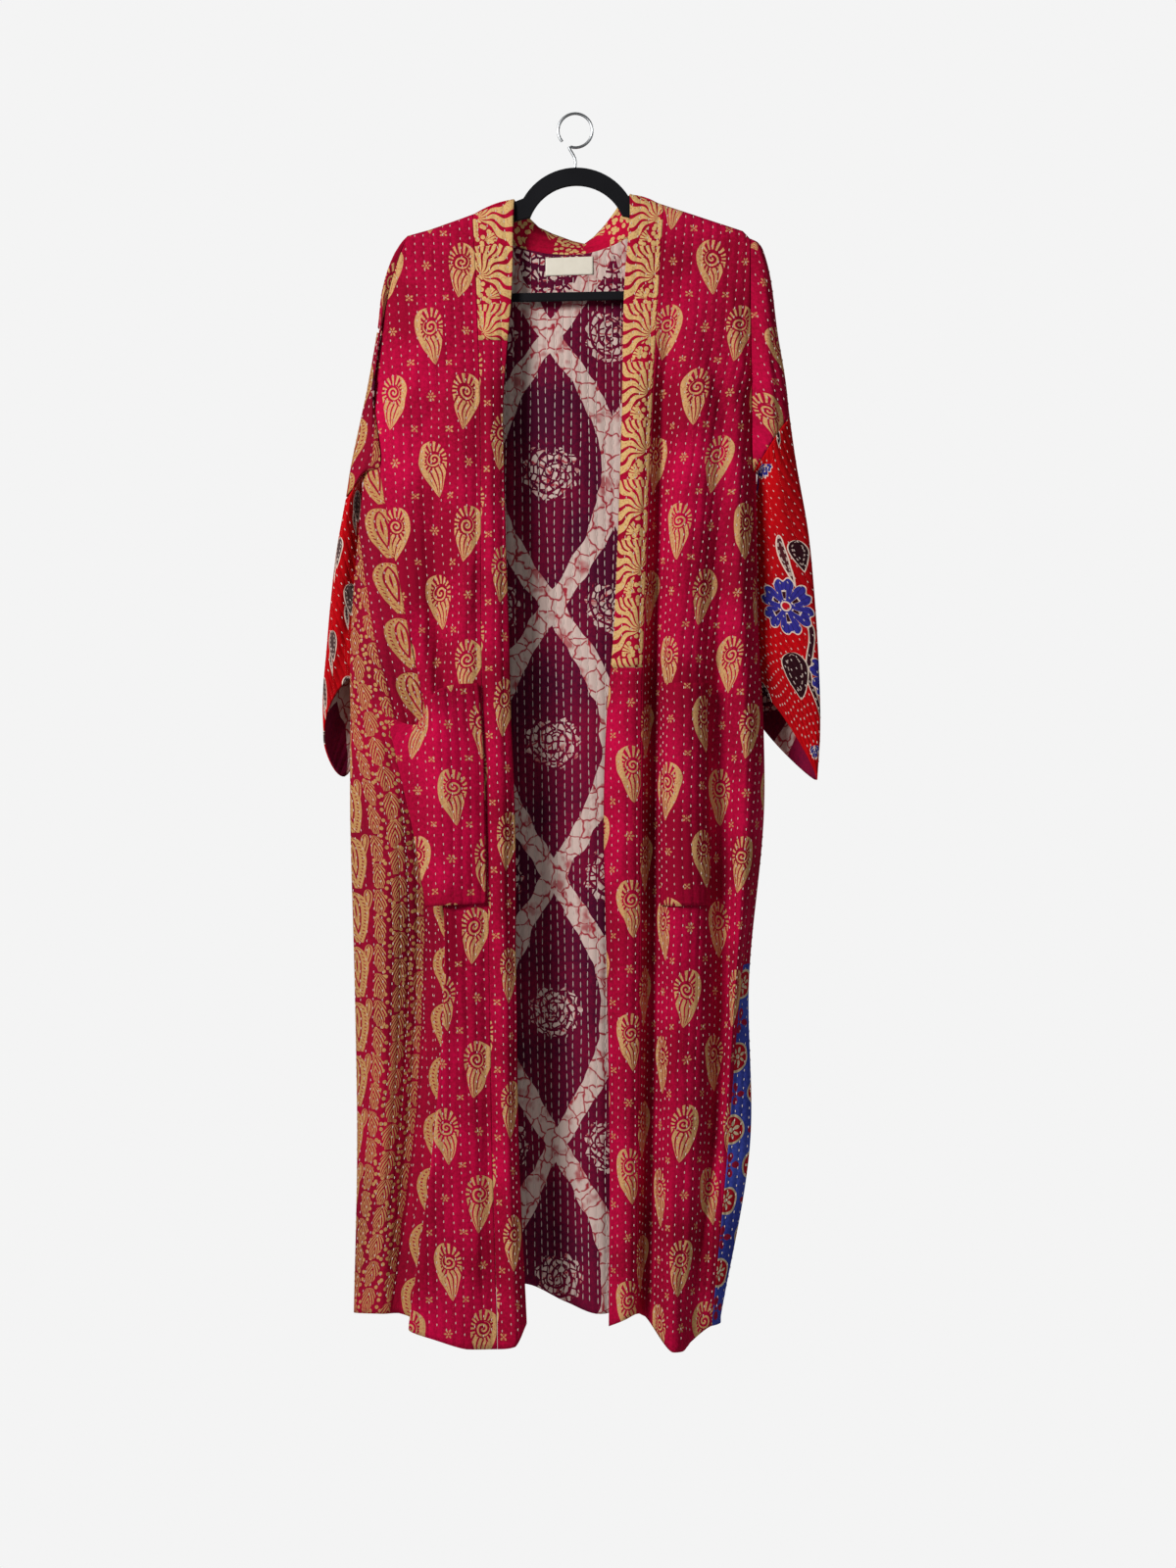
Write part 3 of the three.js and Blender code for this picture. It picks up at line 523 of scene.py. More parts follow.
def arc_down(grid):
    """How far each point of a grid lies below its top row, measured over the cloth."""
    steps = np.linalg.norm(np.diff(grid, axis=2), axis=0)
    return np.concatenate([np.zeros((grid.shape[1], 1)), np.cumsum(steps, axis=1)], axis=1)


quilted = {}  # the grid of each piece and how far its points lie across, kept for the stitches


def sew_piece(name, stands_for, grid, start, materials):
    """Makes one hanging piece in place of its CAD node. Its cut is measured from column start."""
    across = arc_across(grid, start)
    piece = cloth_piece("cloth_" + name, grid, across, grid[2], materials)
    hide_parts(stands_for)
    quilted[name] = (grid, across)
    return piece


SPACING_MM = 7.0
SEAM_FOLDS = 0.004  # a hair of room at each long seam, as a share of a fold


def on_hem(f):
    """The height of the hem at each fold in f."""
    rows = np.broadcast_to(FOLD_HEM[None, :, None], (3, len(FOLD_HEM), len(f)))
    return along_rows(rows.copy(), np.asarray(f, float))[0]


def body_grid(first, last, top=None, bottom=None, creases=(), per_fold=7):
    """The outer face of the body between two folds, as a (3, columns, rows) grid in mm."""
    folds = np.linspace(first, last, int(round((last - first) * per_fold)) + 1)
    above = np.full(folds.shape, float(top)) if top is not None else top_of(folds)[0]
    hems = on_hem(folds) if bottom is None else np.full(folds.shape, float(bottom))
    rows = int(round((above.max() - hems.min()) / SPACING_MM))
    t = np.linspace(0, 1, rows + 1)
    if top is None:  # closer rows where the cloth turns over the shoulder
        t = np.concatenate([[0, 0.0007, 0.0016, 0.0028], t[1:]])
    z = above[:, None] + (hems - above)[:, None] * t[None]
    f = np.broadcast_to(folds[:, None], z.shape)
    inside = np.clip(f, first + SEAM_FOLDS, last - SEAM_FOLDS)
    return creased(on_body(inside, z).reshape(3, *z.shape), creases)


# The back is one length of magenta cotton, block printed in cream-gold with small leaf-shaped
# paisleys and dotted flowers. It hangs from the neckline and the shoulders in soft folds. Its
# inside is a plum batik, wax-resist dyed, so its cream bands and medallions are cracked with red.
STITCH_ROW_MM = 11.0
LINING_ROW_MM = 10.0


# How many soft patches, grains and threads of the cloth there are in a metre.
DRIFT_PER_M = 30.0
PATCHES_PER_M = 7.0
GRAINS_PER_M = 260.0
RUBBED_PER_M = 420.0
THREADS_PER_M = 1300.0
WRINKLES_PER_M = (90.0, 34.0, 1.0)  # across and up
RELIEF = 0.0012  # how high the quilting stands between two rows


def cut_mm(tree, shift=(0, 0), wander=1.5):
    """The cloth's own flat cut in mm, as x across and y up, wandering as a hand-laid print does."""
    where = add(tree, "UVMap", uv_map="cut")
    flat = add(tree, "VectorMath MULTIPLY", where, (1000, 1000, 0))
    flat = add(tree, "VectorMath ADD", flat, (*shift, 0))
    drift = add(tree, "TexNoise", where, DRIFT_PER_M, 1.0, 0.5, noise_dimensions="2D")
    drift = add(tree, "VectorMath SUBTRACT", drift.outputs["Color"], (0.5, 0.5, 0.5))
    drift = add(tree, "VectorMath MULTIPLY", drift, (4 * wander, 4 * wander, 0))
    flat = add(tree, "VectorMath ADD", flat, drift)
    parts = add(tree, "SeparateXYZ", flat)
    return parts.outputs["X"], parts.outputs["Y"], where


def half_drop(tree, x, y, column, drop):
    """Splits the cloth into columns, every second one dropped by half: x and y from each middle.

    The third value is 0 in one column and 1 in the next.
    """
    place_x = add(tree, "Math DIVIDE", x, column)
    number = add(tree, "Math ROUND", place_x)
    parity = add(tree, "Math FLOORED_MODULO", number, 2.0)
    local_x = add(tree, "Math MULTIPLY", add(tree, "Math SUBTRACT", place_x, number), column)
    place_y = add(tree, "Math MULTIPLY_ADD", parity, 0.5, add(tree, "Math DIVIDE", y, drop))
    row = add(tree, "Math ROUND", place_y)
    local_y = add(tree, "Math MULTIPLY", add(tree, "Math SUBTRACT", place_y, row), drop)
    return local_x, local_y, parity


def turned(tree, x, y, centre, degrees):
    """x and y from a centre, turned anticlockwise."""
    point = add(tree, "CombineXYZ", x, y, 0.0)
    around = add(tree, "VectorRotate", point, (*centre, 0), None, math.radians(-degrees),
                 rotation_type="Z_AXIS")
    parts = add(tree, "SeparateXYZ", around)
    local_x = add(tree, "Math SUBTRACT", parts.outputs["X"], centre[0])
    local_y = add(tree, "Math SUBTRACT", parts.outputs["Y"], centre[1])
    return local_x, local_y


def polar(tree, x, y):
    """Distance from the middle, and the angle round it in radians."""
    reach = add(tree, "VectorMath LENGTH", add(tree, "CombineXYZ", x, y, 0.0))
    return reach.outputs["Value"], add(tree, "Math ARCTAN2", y, x)


def teardrop(tree, x, y, length, width, tail):
    """A round-headed drop, its tail down and aside. Gives s, from -1 to 1 across it, t, from 0 at
    its top to 1 at its tail, and how deep inside it a point lies, below 0 outside."""
    t = add(tree, "MapRange", y, length * 0.4, -length * 0.6, 0.0, 1.0)
    bulge = add(tree, "Math POWER", t, 0.6)
    bulge = add(tree, "Math MULTIPLY", bulge, math.pi)
    bulge = add(tree, "Math MAXIMUM", add(tree, "Math SINE", bulge), 0.0)
    half = add(tree, "Math MULTIPLY", add(tree, "Math POWER", bulge, 0.8), width / 2)
    half = add(tree, "Math MAXIMUM", half, 0.01)
    aside = add(tree, "Math MULTIPLY", add(tree, "Math POWER", t, 2.0), tail)
    s = add(tree, "Math DIVIDE", add(tree, "Math SUBTRACT", x, aside), half)
    edge = add(tree, "Math ABSOLUTE", s)
    depth = add(tree, "Math MULTIPLY", add(tree, "Math SUBTRACT", 1.0, edge), half)
    return s, t, depth


def flower(tree, x, y, radius, petals, eye):
    """A flower's mask: petals round an eye, with the ground showing between them."""
    reach, angle = polar(tree, x, y)
    lobes = add(tree, "Math COSINE", add(tree, "Math MULTIPLY", angle, float(petals)))
    rim = add(tree, "Math MULTIPLY_ADD", lobes, 0.28 * radius, 0.72 * radius)
    inside = add(tree, "Math LESS_THAN", reach, rim)
    gap = add(tree, "Math GREATER_THAN", reach, eye * 1.7)
    cut = add(tree, "Math GREATER_THAN", lobes, -0.25)
    ring = add(tree, "Math MULTIPLY", inside, gap, cut)
    dot = add(tree, "Math LESS_THAN", reach, eye)
    return add(tree, "Math MAXIMUM", ring, dot)


def stripes(tree, value, period, share):
    """1 on a share of every period of a value, 0 between."""
    part = add(tree, "Math DIVIDE", value, period)
    part = add(tree, "Math FRACT", part)
    return add(tree, "Math LESS_THAN", part, share)


def cloth_relief(tree, where, row_mm, lean=0.0):
    """The quilting's soft ridges, with a valley at each row of stitches, small pulled wrinkles and
    the weave's grain. lean is how far the rows move aside in a mm of height."""
    flat = add(tree, "SeparateXYZ", where)
    across, up = flat.outputs["X"], flat.outputs["Y"]
    upright = add(tree, "Math MULTIPLY_ADD", up, -lean, across)
    turn = add(tree, "Math MULTIPLY", upright, 1000 * math.pi / row_mm)
    ridge = add(tree, "Math ABSOLUTE", add(tree, "Math COSINE", turn))
    pulls = add(tree, "Mapping", where, None, None, WRINKLES_PER_M)
    wrinkle = add(tree, "TexNoise", pulls, 1.0, 2.0, 0.55, noise_dimensions="2D")
    threads = add(tree, "TexNoise", where, THREADS_PER_M, 0.0, 0.5, noise_dimensions="2D")
    height = add(tree, "Math MULTIPLY_ADD", wrinkle, 1.5, ridge)
    height = add(tree, "Math MULTIPLY_ADD", threads, 0.2, height)
    return add(tree, "Bump", 0.6, RELIEF, None, height)


def dyed(tree, where, deep, bright, share=0.5):
    """A dyed ground that is a little uneven, in long soft patches and a fine grain."""
    patches = add(tree, "TexNoise", where, PATCHES_PER_M, 2.0, 0.6, noise_dimensions="2D")
    grain = add(tree, "TexNoise", where, GRAINS_PER_M, 1.0, 0.6, noise_dimensions="2D")
    mixed = add(tree, "Math MULTIPLY_ADD", grain, 0.35, patches)
    level = add(tree, "MapRange", mixed, 0.42 + 0.3 * (1 - share), 0.95, 0.0, 1.0)
    return add(tree, "Mix", level, srgb(deep), srgb(bright), data_type="RGBA")


def printed(tree, where, ground, mask, ink="d0aa74", rub="b0784a"):
    """Block-printed ink over a dyed ground: the ink is thin, so the weave breaks it up."""
    patch = add(tree, "TexNoise", where, RUBBED_PER_M, 2.0, 0.7, noise_dimensions="2D")
    tone = add(tree, "Mix", patch, srgb(rub), srgb(ink), data_type="RGBA")
    worn = add(tree, "MapRange", patch, 0.25, 0.42, 0.35, 1.0)
    cover = add(tree, "Math MULTIPLY", mask, worn)
    return add(tree, "Mix", cover, ground, tone, data_type="RGBA")


COTTON = dict(Roughness=0.9, Specular_IOR_Level=0.06)
MAGENTA = ("8a0526", "c00840")
PRINT_COLUMN_MM = 44.0
PRINT_DROP_MM = 155.0
BUTA_MM = (66.0, 34.0, 6.0)  # its length, width and the bend of its tail
ROSETTE_MM = 9.0
ROSETTE_AT_MM = (2.5, 4.0)
FRINGE_MM = 10.5
TALL_FLOWER = (5.6, 6, 1.2)  # its radius, petals and eye
LOW_FLOWER = (5.0, 5, 1.1)
SMALL_INK = 0.75  # the small flowers took less ink


def buta_print(name, shift):
    """The magenta cotton's print: a leaf-shaped buta of flowing stripes, a rosette in its head, and
    dotted flowers between. Each piece is cut from the cloth at another place, given by shift."""
    material, tree, shader = new_material(name)
    x, y, where = cut_mm(tree, shift)
    local_x, local_y, parity = half_drop(tree, x, y, PRINT_COLUMN_MM, PRINT_DROP_MM)
    facing = add(tree, "Math MULTIPLY_ADD", parity, -2.0, 1.0)
    drop_x = add(tree, "Math MULTIPLY", local_x, facing)
    s, t, depth = teardrop(tree, drop_x, local_y, *BUTA_MM)
    inside = add(tree, "Math GREATER_THAN", depth, 0.0)
    side = add(tree, "Math LESS_THAN", s, -0.58)
    sway = add(tree, "Math SINE", add(tree, "Math MULTIPLY", t, 7.0))
    flow = add(tree, "Math MULTIPLY_ADD", sway, 0.22, s)
    flow = add(tree, "Math MULTIPLY_ADD", t, -0.9, flow)
    ribs = stripes(tree, flow, 0.46, 0.66)
    low = add(tree, "Math GREATER_THAN", add(tree, "Math MULTIPLY_ADD", s, 0.12, t), 0.53)
    ribs = add(tree, "Math MULTIPLY", ribs, low)
    head_x = add(tree, "Math SUBTRACT", drop_x, ROSETTE_AT_MM[0])
    head_y = add(tree, "Math SUBTRACT", local_y, ROSETTE_AT_MM[1])
    reach, angle = polar(tree, head_x, head_y)
    rings = stripes(tree, add(tree, "Math MULTIPLY_ADD", angle, 0.8, reach), 5.2, 0.42)
    core = add(tree, "Math LESS_THAN", reach, ROSETTE_MM)
    rosette = add(tree, "Math MULTIPLY", rings, core)
    rays = stripes(tree, angle, 0.36, 0.45)
    outer = add(tree, "Math GREATER_THAN", reach, FRINGE_MM)
    fringe = add(tree, "Math MULTIPLY", rays, outer, add(tree, "Math SUBTRACT", 1.0, low))
    motif = add(tree, "Math MAXIMUM", side, ribs, rosette, fringe)
    motif = add(tree, "Math MULTIPLY", motif, inside)
    high = add(tree, "Math ABSOLUTE", local_y)
    wide = add(tree, "Math ABSOLUTE", local_x)
    above = add(tree, "Math SUBTRACT", high, PRINT_DROP_MM / 2)
    between = flower(tree, local_x, above, *TALL_FLOWER)
    beside = add(tree, "Math SUBTRACT", wide, PRINT_COLUMN_MM / 2)
    above = add(tree, "Math SUBTRACT", high, PRINT_DROP_MM / 4)
    aside = flower(tree, beside, above, *LOW_FLOWER)
    small = add(tree, "Math MAXIMUM", between, aside)
    mask = add(tree, "Math MAXIMUM", motif, add(tree, "Math MULTIPLY", small, SMALL_INK))
    colour = printed(tree, where, dyed(tree, where, *MAGENTA), mask)
    set_shader(tree, shader, colour, cloth_relief(tree, where, STITCH_ROW_MM), **COTTON)
    return material


LATTICE_MM = 319.0  # from one crossing of the bands to the next
LATTICE_HALF_MM = 75.0
LATTICE_CROSSING_MM = -256.0
BAND_HALF_MM = 15.0
MEDALLION_MM = 33.0
MEDALLION_LOBES = 11.0
LOBE_MM = 2.8
NOTCH_MM = 11.0
CURL_MM = 10.0
STROKES_PER_M = 110.0
CRACKS_PER_M = 52.0
STAINS_PER_M = 38.0
YOKE_MM = -214.0  # above this the neck has rings of short strokes


def plum_batik(name, shift):
    """The lining: cream bands crossing in long lozenges, each with a curled medallion."""
    material, tree, shader = new_material(name)
    x, y, where = cut_mm(tree, shift, wander=2.5)
    height = add(tree, "Math ADD", y, -LATTICE_CROSSING_MM + LATTICE_MM / 2)
    local_x, local_y, _ = half_drop(tree, x, height, LATTICE_HALF_MM, LATTICE_MM)
    height = add(tree, "Math SUBTRACT", y, LATTICE_CROSSING_MM)
    turn = add(tree, "Math MULTIPLY", height, math.pi / LATTICE_MM)
    lens = add(tree, "Math ABSOLUTE", add(tree, "Math SINE", turn))
    lens = add(tree, "Math MULTIPLY", lens, LATTICE_HALF_MM)
    wide = add(tree, "Math PINGPONG", x, LATTICE_HALF_MM)
    off = add(tree, "Math ABSOLUTE", add(tree, "Math SUBTRACT", lens, wide))
    band = add(tree, "Math LESS_THAN", off, BAND_HALF_MM)
    reach, angle = polar(tree, local_x, local_y)
    lobes = add(tree, "Math COSINE", add(tree, "Math MULTIPLY", angle, MEDALLION_LOBES))
    rim = add(tree, "Math MULTIPLY_ADD", lobes, LOBE_MM, MEDALLION_MM)
    notch = add(tree, "Math MAXIMUM", add(tree, "Math SINE", angle), 0.0)
    notch = add(tree, "Math MULTIPLY_ADD", add(tree, "Math POWER", notch, 12.0), -NOTCH_MM, rim)
    medal = add(tree, "Math LESS_THAN", reach, notch)
    curl = stripes(tree, add(tree, "Math MULTIPLY_ADD", angle, 3.2, reach), CURL_MM, 0.66)
    leaves = add(tree, "TexVoronoi", where, STROKES_PER_M, 0.0, 0.5, 1.0,
                 feature="DISTANCE_TO_EDGE", voronoi_dimensions="2D")
    veins = add(tree, "Math GREATER_THAN", leaves, 0.11)
    medal = add(tree, "Math MULTIPLY", medal, curl, veins)
    top = add(tree, "Math GREATER_THAN", y, YOKE_MM)
    strokes = add(tree, "Math GREATER_THAN", leaves, 0.16)
    yoke = add(tree, "Math MULTIPLY", strokes, stripes(tree, reach, 17.0, 0.6), top)
    wax = add(tree, "Math MAXIMUM", band, medal, yoke)
    bent = add(tree, "TexNoise", where, 70.0, 1.0, 0.6, noise_dimensions="2D")
    bent = add(tree, "VectorMath MULTIPLY_ADD", bent.outputs["Color"], (0.012, 0.012, 0), where)
    cracks = add(tree, "TexVoronoi", bent, CRACKS_PER_M, 0.0, 0.5, 1.0,
                 feature="DISTANCE_TO_EDGE", voronoi_dimensions="2D")
    crack = add(tree, "MapRange", cracks, 0.02, 0.085, 1.0, 0.0)
    stain = add(tree, "TexNoise", where, STAINS_PER_M, 2.0, 0.65, noise_dimensions="2D")
    stain = add(tree, "MapRange", stain, 0.55, 0.72, 0.0, 0.8)
    red_in = add(tree, "Math MAXIMUM", crack, stain)
    cream = add(tree, "Mix", red_in, srgb("c9b1a8"), srgb("9a2a38"), data_type="RGBA")
    ground = dyed(tree, where, "4a0c28", "7d0c30", 0.6)
    colour = add(tree, "Mix", wax, ground, cream, data_type="RGBA")
    set_shader(tree, shader, colour, cloth_relief(tree, where, LINING_ROW_MM), **COTTON)
    return material


magenta_back = buta_print("magenta_block_print_back", (9, 30))
lining_back = plum_batik("plum_batik_back", (0, 0))

back_grid = body_grid(FIRST_BACK, LAST_BACK, per_fold=9)
CENTRE_BACK_X = -20
centre_back = int(np.abs(back_grid[0, :, -1] - CENTRE_BACK_X).argmin())
back = sew_piece("back", "back", back_grid, centre_back, [magenta_back, lining_back])

# The two fronts are the same printed cotton on the same lining. Each is sewn to the back over
# the shoulder and to the collar at its front edge, and hangs free at the hem.
magenta_right = buta_print("magenta_block_print_right", (-15, 24))
magenta_left = buta_print("magenta_block_print_left", (16, -58))
lining_fronts = plum_batik("plum_batik_fronts", (75, 90))

right_grid = body_grid(BAND_R, SIDE_R, creases=CREASES["front_right"], per_fold=12)
front_right = sew_piece("front_right", "front_right", right_grid, 0, [magenta_right, lining_fronts])
left_grid = body_grid(SIDE_L, BAND_L, creases=CREASES["front_left"], per_fold=12)
front_left = sew_piece("front_left", "front_left", left_grid, -1, [magenta_left, lining_fronts])

# The side panel on the wearer's right is cut from the cloth's border, so big paisleys run down
# it. It is sewn between the front and the back from the underarm to the hem, and wraps the side.
PAISLEY_DROP_MM = 64.0
PAISLEY_BAND_MM = 62.0
PAISLEY_MM = (66.0, 42.0, -9.0)
BUD_MM = (26.0, 12.0, 2.0)
LEAF_MM = (34.0, 19.0, 5.0)
PAISLEY_TILT, BUD_TILT, LEAF_TILT = -28, 25, 38
PAISLEY_MIDDLE_MM = 30.0
BUD_AT_MM = (8.0, 20.0)
LEAF_COLUMN_MM = 27.0
DOTS_PER_M = 120.0


def paisley_border(name, shift, turn=1):
    """The border print of the side panel and the right sleeve: a column of large tilted paisleys
    in loops, buds between them, and beside it dense leaves of comb-like strokes."""
    material, tree, shader = new_material(name)
    x, y, where = cut_mm(tree, shift, wander=1.0)
    x = add(tree, "Math MULTIPLY", x, float(turn))
    band = add(tree, "Math FRACT", add(tree, "Math DIVIDE", x, 2 * PAISLEY_BAND_MM))
    band = add(tree, "Math MULTIPLY", band, 2 * PAISLEY_BAND_MM)
    row = add(tree, "Math FRACT", add(tree, "Math DIVIDE", y, PAISLEY_DROP_MM))
    local_y = add(tree, "Math MULTIPLY_ADD", row, PAISLEY_DROP_MM, -PAISLEY_DROP_MM / 2)
    big_x = add(tree, "Math SUBTRACT", band, PAISLEY_MIDDLE_MM)
    tilt_x, tilt_y = turned(tree, big_x, local_y, (0, 0), PAISLEY_TILT)
    s, t, depth = teardrop(tree, tilt_x, tilt_y, *PAISLEY_MM)
    inside = add(tree, "Math GREATER_THAN", depth, 0.0)
    loops = stripes(tree, add(tree, "Math ADD", depth, 0.4), 7.6, 0.6)
    teeth = stripes(tree, add(tree, "Math MULTIPLY_ADD", t, 10.0, s), 0.62, 0.62)
    ring = add(tree, "Math MULTIPLY", add(tree, "Math COMPARE", depth, 7.0, 3.0), teeth)
    loops = add(tree, "Math MAXIMUM", loops, ring)
    paisley = add(tree, "Math MULTIPLY", loops, inside)
    bud_x = add(tree, "Math SUBTRACT", band, BUD_AT_MM[0])
    bud_y = add(tree, "Math SUBTRACT", local_y, BUD_AT_MM[1])
    bud_x, bud_y = turned(tree, bud_x, bud_y, (0, 0), BUD_TILT)
    _, _, bud = teardrop(tree, bud_x, bud_y, *BUD_MM)
    bud_rim = add(tree, "Math GREATER_THAN", bud, 0.0)
    bud_in = add(tree, "Math COMPARE", bud, 2.6, 0.9)
    bud = add(tree, "Math SUBTRACT", bud_rim, bud_in)
    leaf_x = add(tree, "Math ADD", band, 16.0)
    leaf_x, leaf_y, side = half_drop(tree, leaf_x, y, LEAF_COLUMN_MM, PAISLEY_DROP_MM / 2)
    lean = add(tree, "Math MULTIPLY_ADD", side, -2.0, 1.0)
    leaf_x = add(tree, "Math MULTIPLY", leaf_x, lean)
    leaf_x, leaf_y = turned(tree, leaf_x, leaf_y, (0, 0), LEAF_TILT)
    leaf_s, leaf_t, leaf = teardrop(tree, leaf_x, leaf_y, *LEAF_MM)
    combs = add(tree, "Math MULTIPLY_ADD", add(tree, "Math ABSOLUTE", leaf_s), -0.55, leaf_t)
    combs = stripes(tree, add(tree, "Math ADD", combs, 2.0), 0.21, 0.48)
    half = add(tree, "Math GREATER_THAN", band, PAISLEY_BAND_MM)
    leaf_in = add(tree, "Math MULTIPLY", add(tree, "Math GREATER_THAN", leaf, 0.0), half)
    leaves = add(tree, "Math MULTIPLY", combs, leaf_in)
    dots = add(tree, "TexVoronoi", where, DOTS_PER_M, 0.0, 0.5, 0.7, voronoi_dimensions="2D")
    dots = add(tree, "Math LESS_THAN", dots, 0.27)
    busy = add(tree, "Math MAXIMUM", inside, leaf_in, bud_rim)
    dots = add(tree, "Math MULTIPLY", dots, half, add(tree, "Math SUBTRACT", 1.0, busy))
    mask = add(tree, "Math MAXIMUM", paisley, leaves, bud, dots)
    ground = dyed(tree, where, "7c0824", "a40a30", 0.7)
    colour = printed(tree, where, ground, mask, ink="c49a62", rub="9c6a3e")
    set_shader(tree, shader, colour, cloth_relief(tree, where, STITCH_ROW_MM), **COTTON)
    return material


PANEL_TOP = -414
border_panel = paisley_border("paisley_border_panel", (20, 10))
panel_grid = body_grid(SIDE_R, FIRST_BACK, top=PANEL_TOP, creases=CREASES["side_panel"],
                       per_fold=14)
sew_piece("side_panel_right", "side_gusset_right", panel_grid, 0, [border_panel, lining_fronts])

# The side strip on the wearer's left is narrow, magenta above and blue floral cotton below the
# hip. It is sewn between the front and the back, and turns back where the side is slit.
STRIP_PRINT_TOP_MM = -985.0
BLUE_COLUMN_MM = 36.0
BLUE_DROP_MM = 84.0
ROUND_MM = 17.0
ROUND_RIM_MM = 2.5
BLUE_CREAM = "b9a98a"


def blue_floral(name, shift):
    """The side strip: blue cotton with round red flowers, cream inside and round them."""
    material, tree, shader = new_material(name)
    x, y, where = cut_mm(tree, shift, wander=2.0)
    local_x, local_y, _ = half_drop(tree, x, y, BLUE_COLUMN_MM, BLUE_DROP_MM)
    reach, _ = polar(tree, local_x, local_y)
    ground = dyed(tree, where, "2c3484", "4654b0", 0.6)
    rim = add(tree, "Math LESS_THAN", reach, ROUND_MM)
    field = add(tree, "Math LESS_THAN", reach, ROUND_MM - ROUND_RIM_MM)
    blossom = flower(tree, local_x, local_y, 11.0, 7, 2.4)
    colour = add(tree, "Mix", rim, ground, srgb(BLUE_CREAM), data_type="RGBA")
    colour = add(tree, "Mix", field, colour, srgb("a01020"), data_type="RGBA")
    colour = add(tree, "Mix", blossom, colour, srgb(BLUE_CREAM), data_type="RGBA")
    leaf_y = add(tree, "Math SUBTRACT", add(tree, "Math ABSOLUTE", local_y), BLUE_DROP_MM / 2)
    leaf = flower(tree, local_x, leaf_y, 14.0, 4, 2.0)
    colour = add(tree, "Mix", leaf, colour, srgb("8c1430"), data_type="RGBA")
    high = add(tree, "Math GREATER_THAN", y, STRIP_PRINT_TOP_MM)
    colour = add(tree, "Mix", high, colour, dyed(tree, where, *MAGENTA), data_type="RGBA")
    set_shader(tree, shader, colour, cloth_relief(tree, where, STITCH_ROW_MM), **COTTON)
    return material


blue_strip = blue_floral("blue_floral_cotton", (4, 12))
strip_grid = body_grid(LAST_BACK, SIDE_L, top=PANEL_TOP, per_fold=14)
sew_piece("side_strip_left", "side_strip_left", strip_grid, -1, [blue_strip, lining_fronts])

# The collar is a straight band down both front edges, doubled and sewn on. Its upper part is
# printed with gold leaves, to the chest on the wearer's right and to the waist on the left.
FAN_DROP_MM = 69.0
FAN_BELOW_MM = 36.0  # from the fan's point to the end of its repeat
FAN_REACH_MM = (60.0, 33.0)  # along its lowest ribs, and along its highest
FAN_SPREAD = (-0.78, 2.2)
FAN_RIB = 0.47
CREST_MM = 25.0
SMALL_FAN_MM = 15.0
SMALL_FAN_AT_MM = (-6.0, -30.0)
FINE_DOTS_PER_M = 150.0
BESIDE_MM = 5.0  # the bud and the flower stand this far behind the fan's point


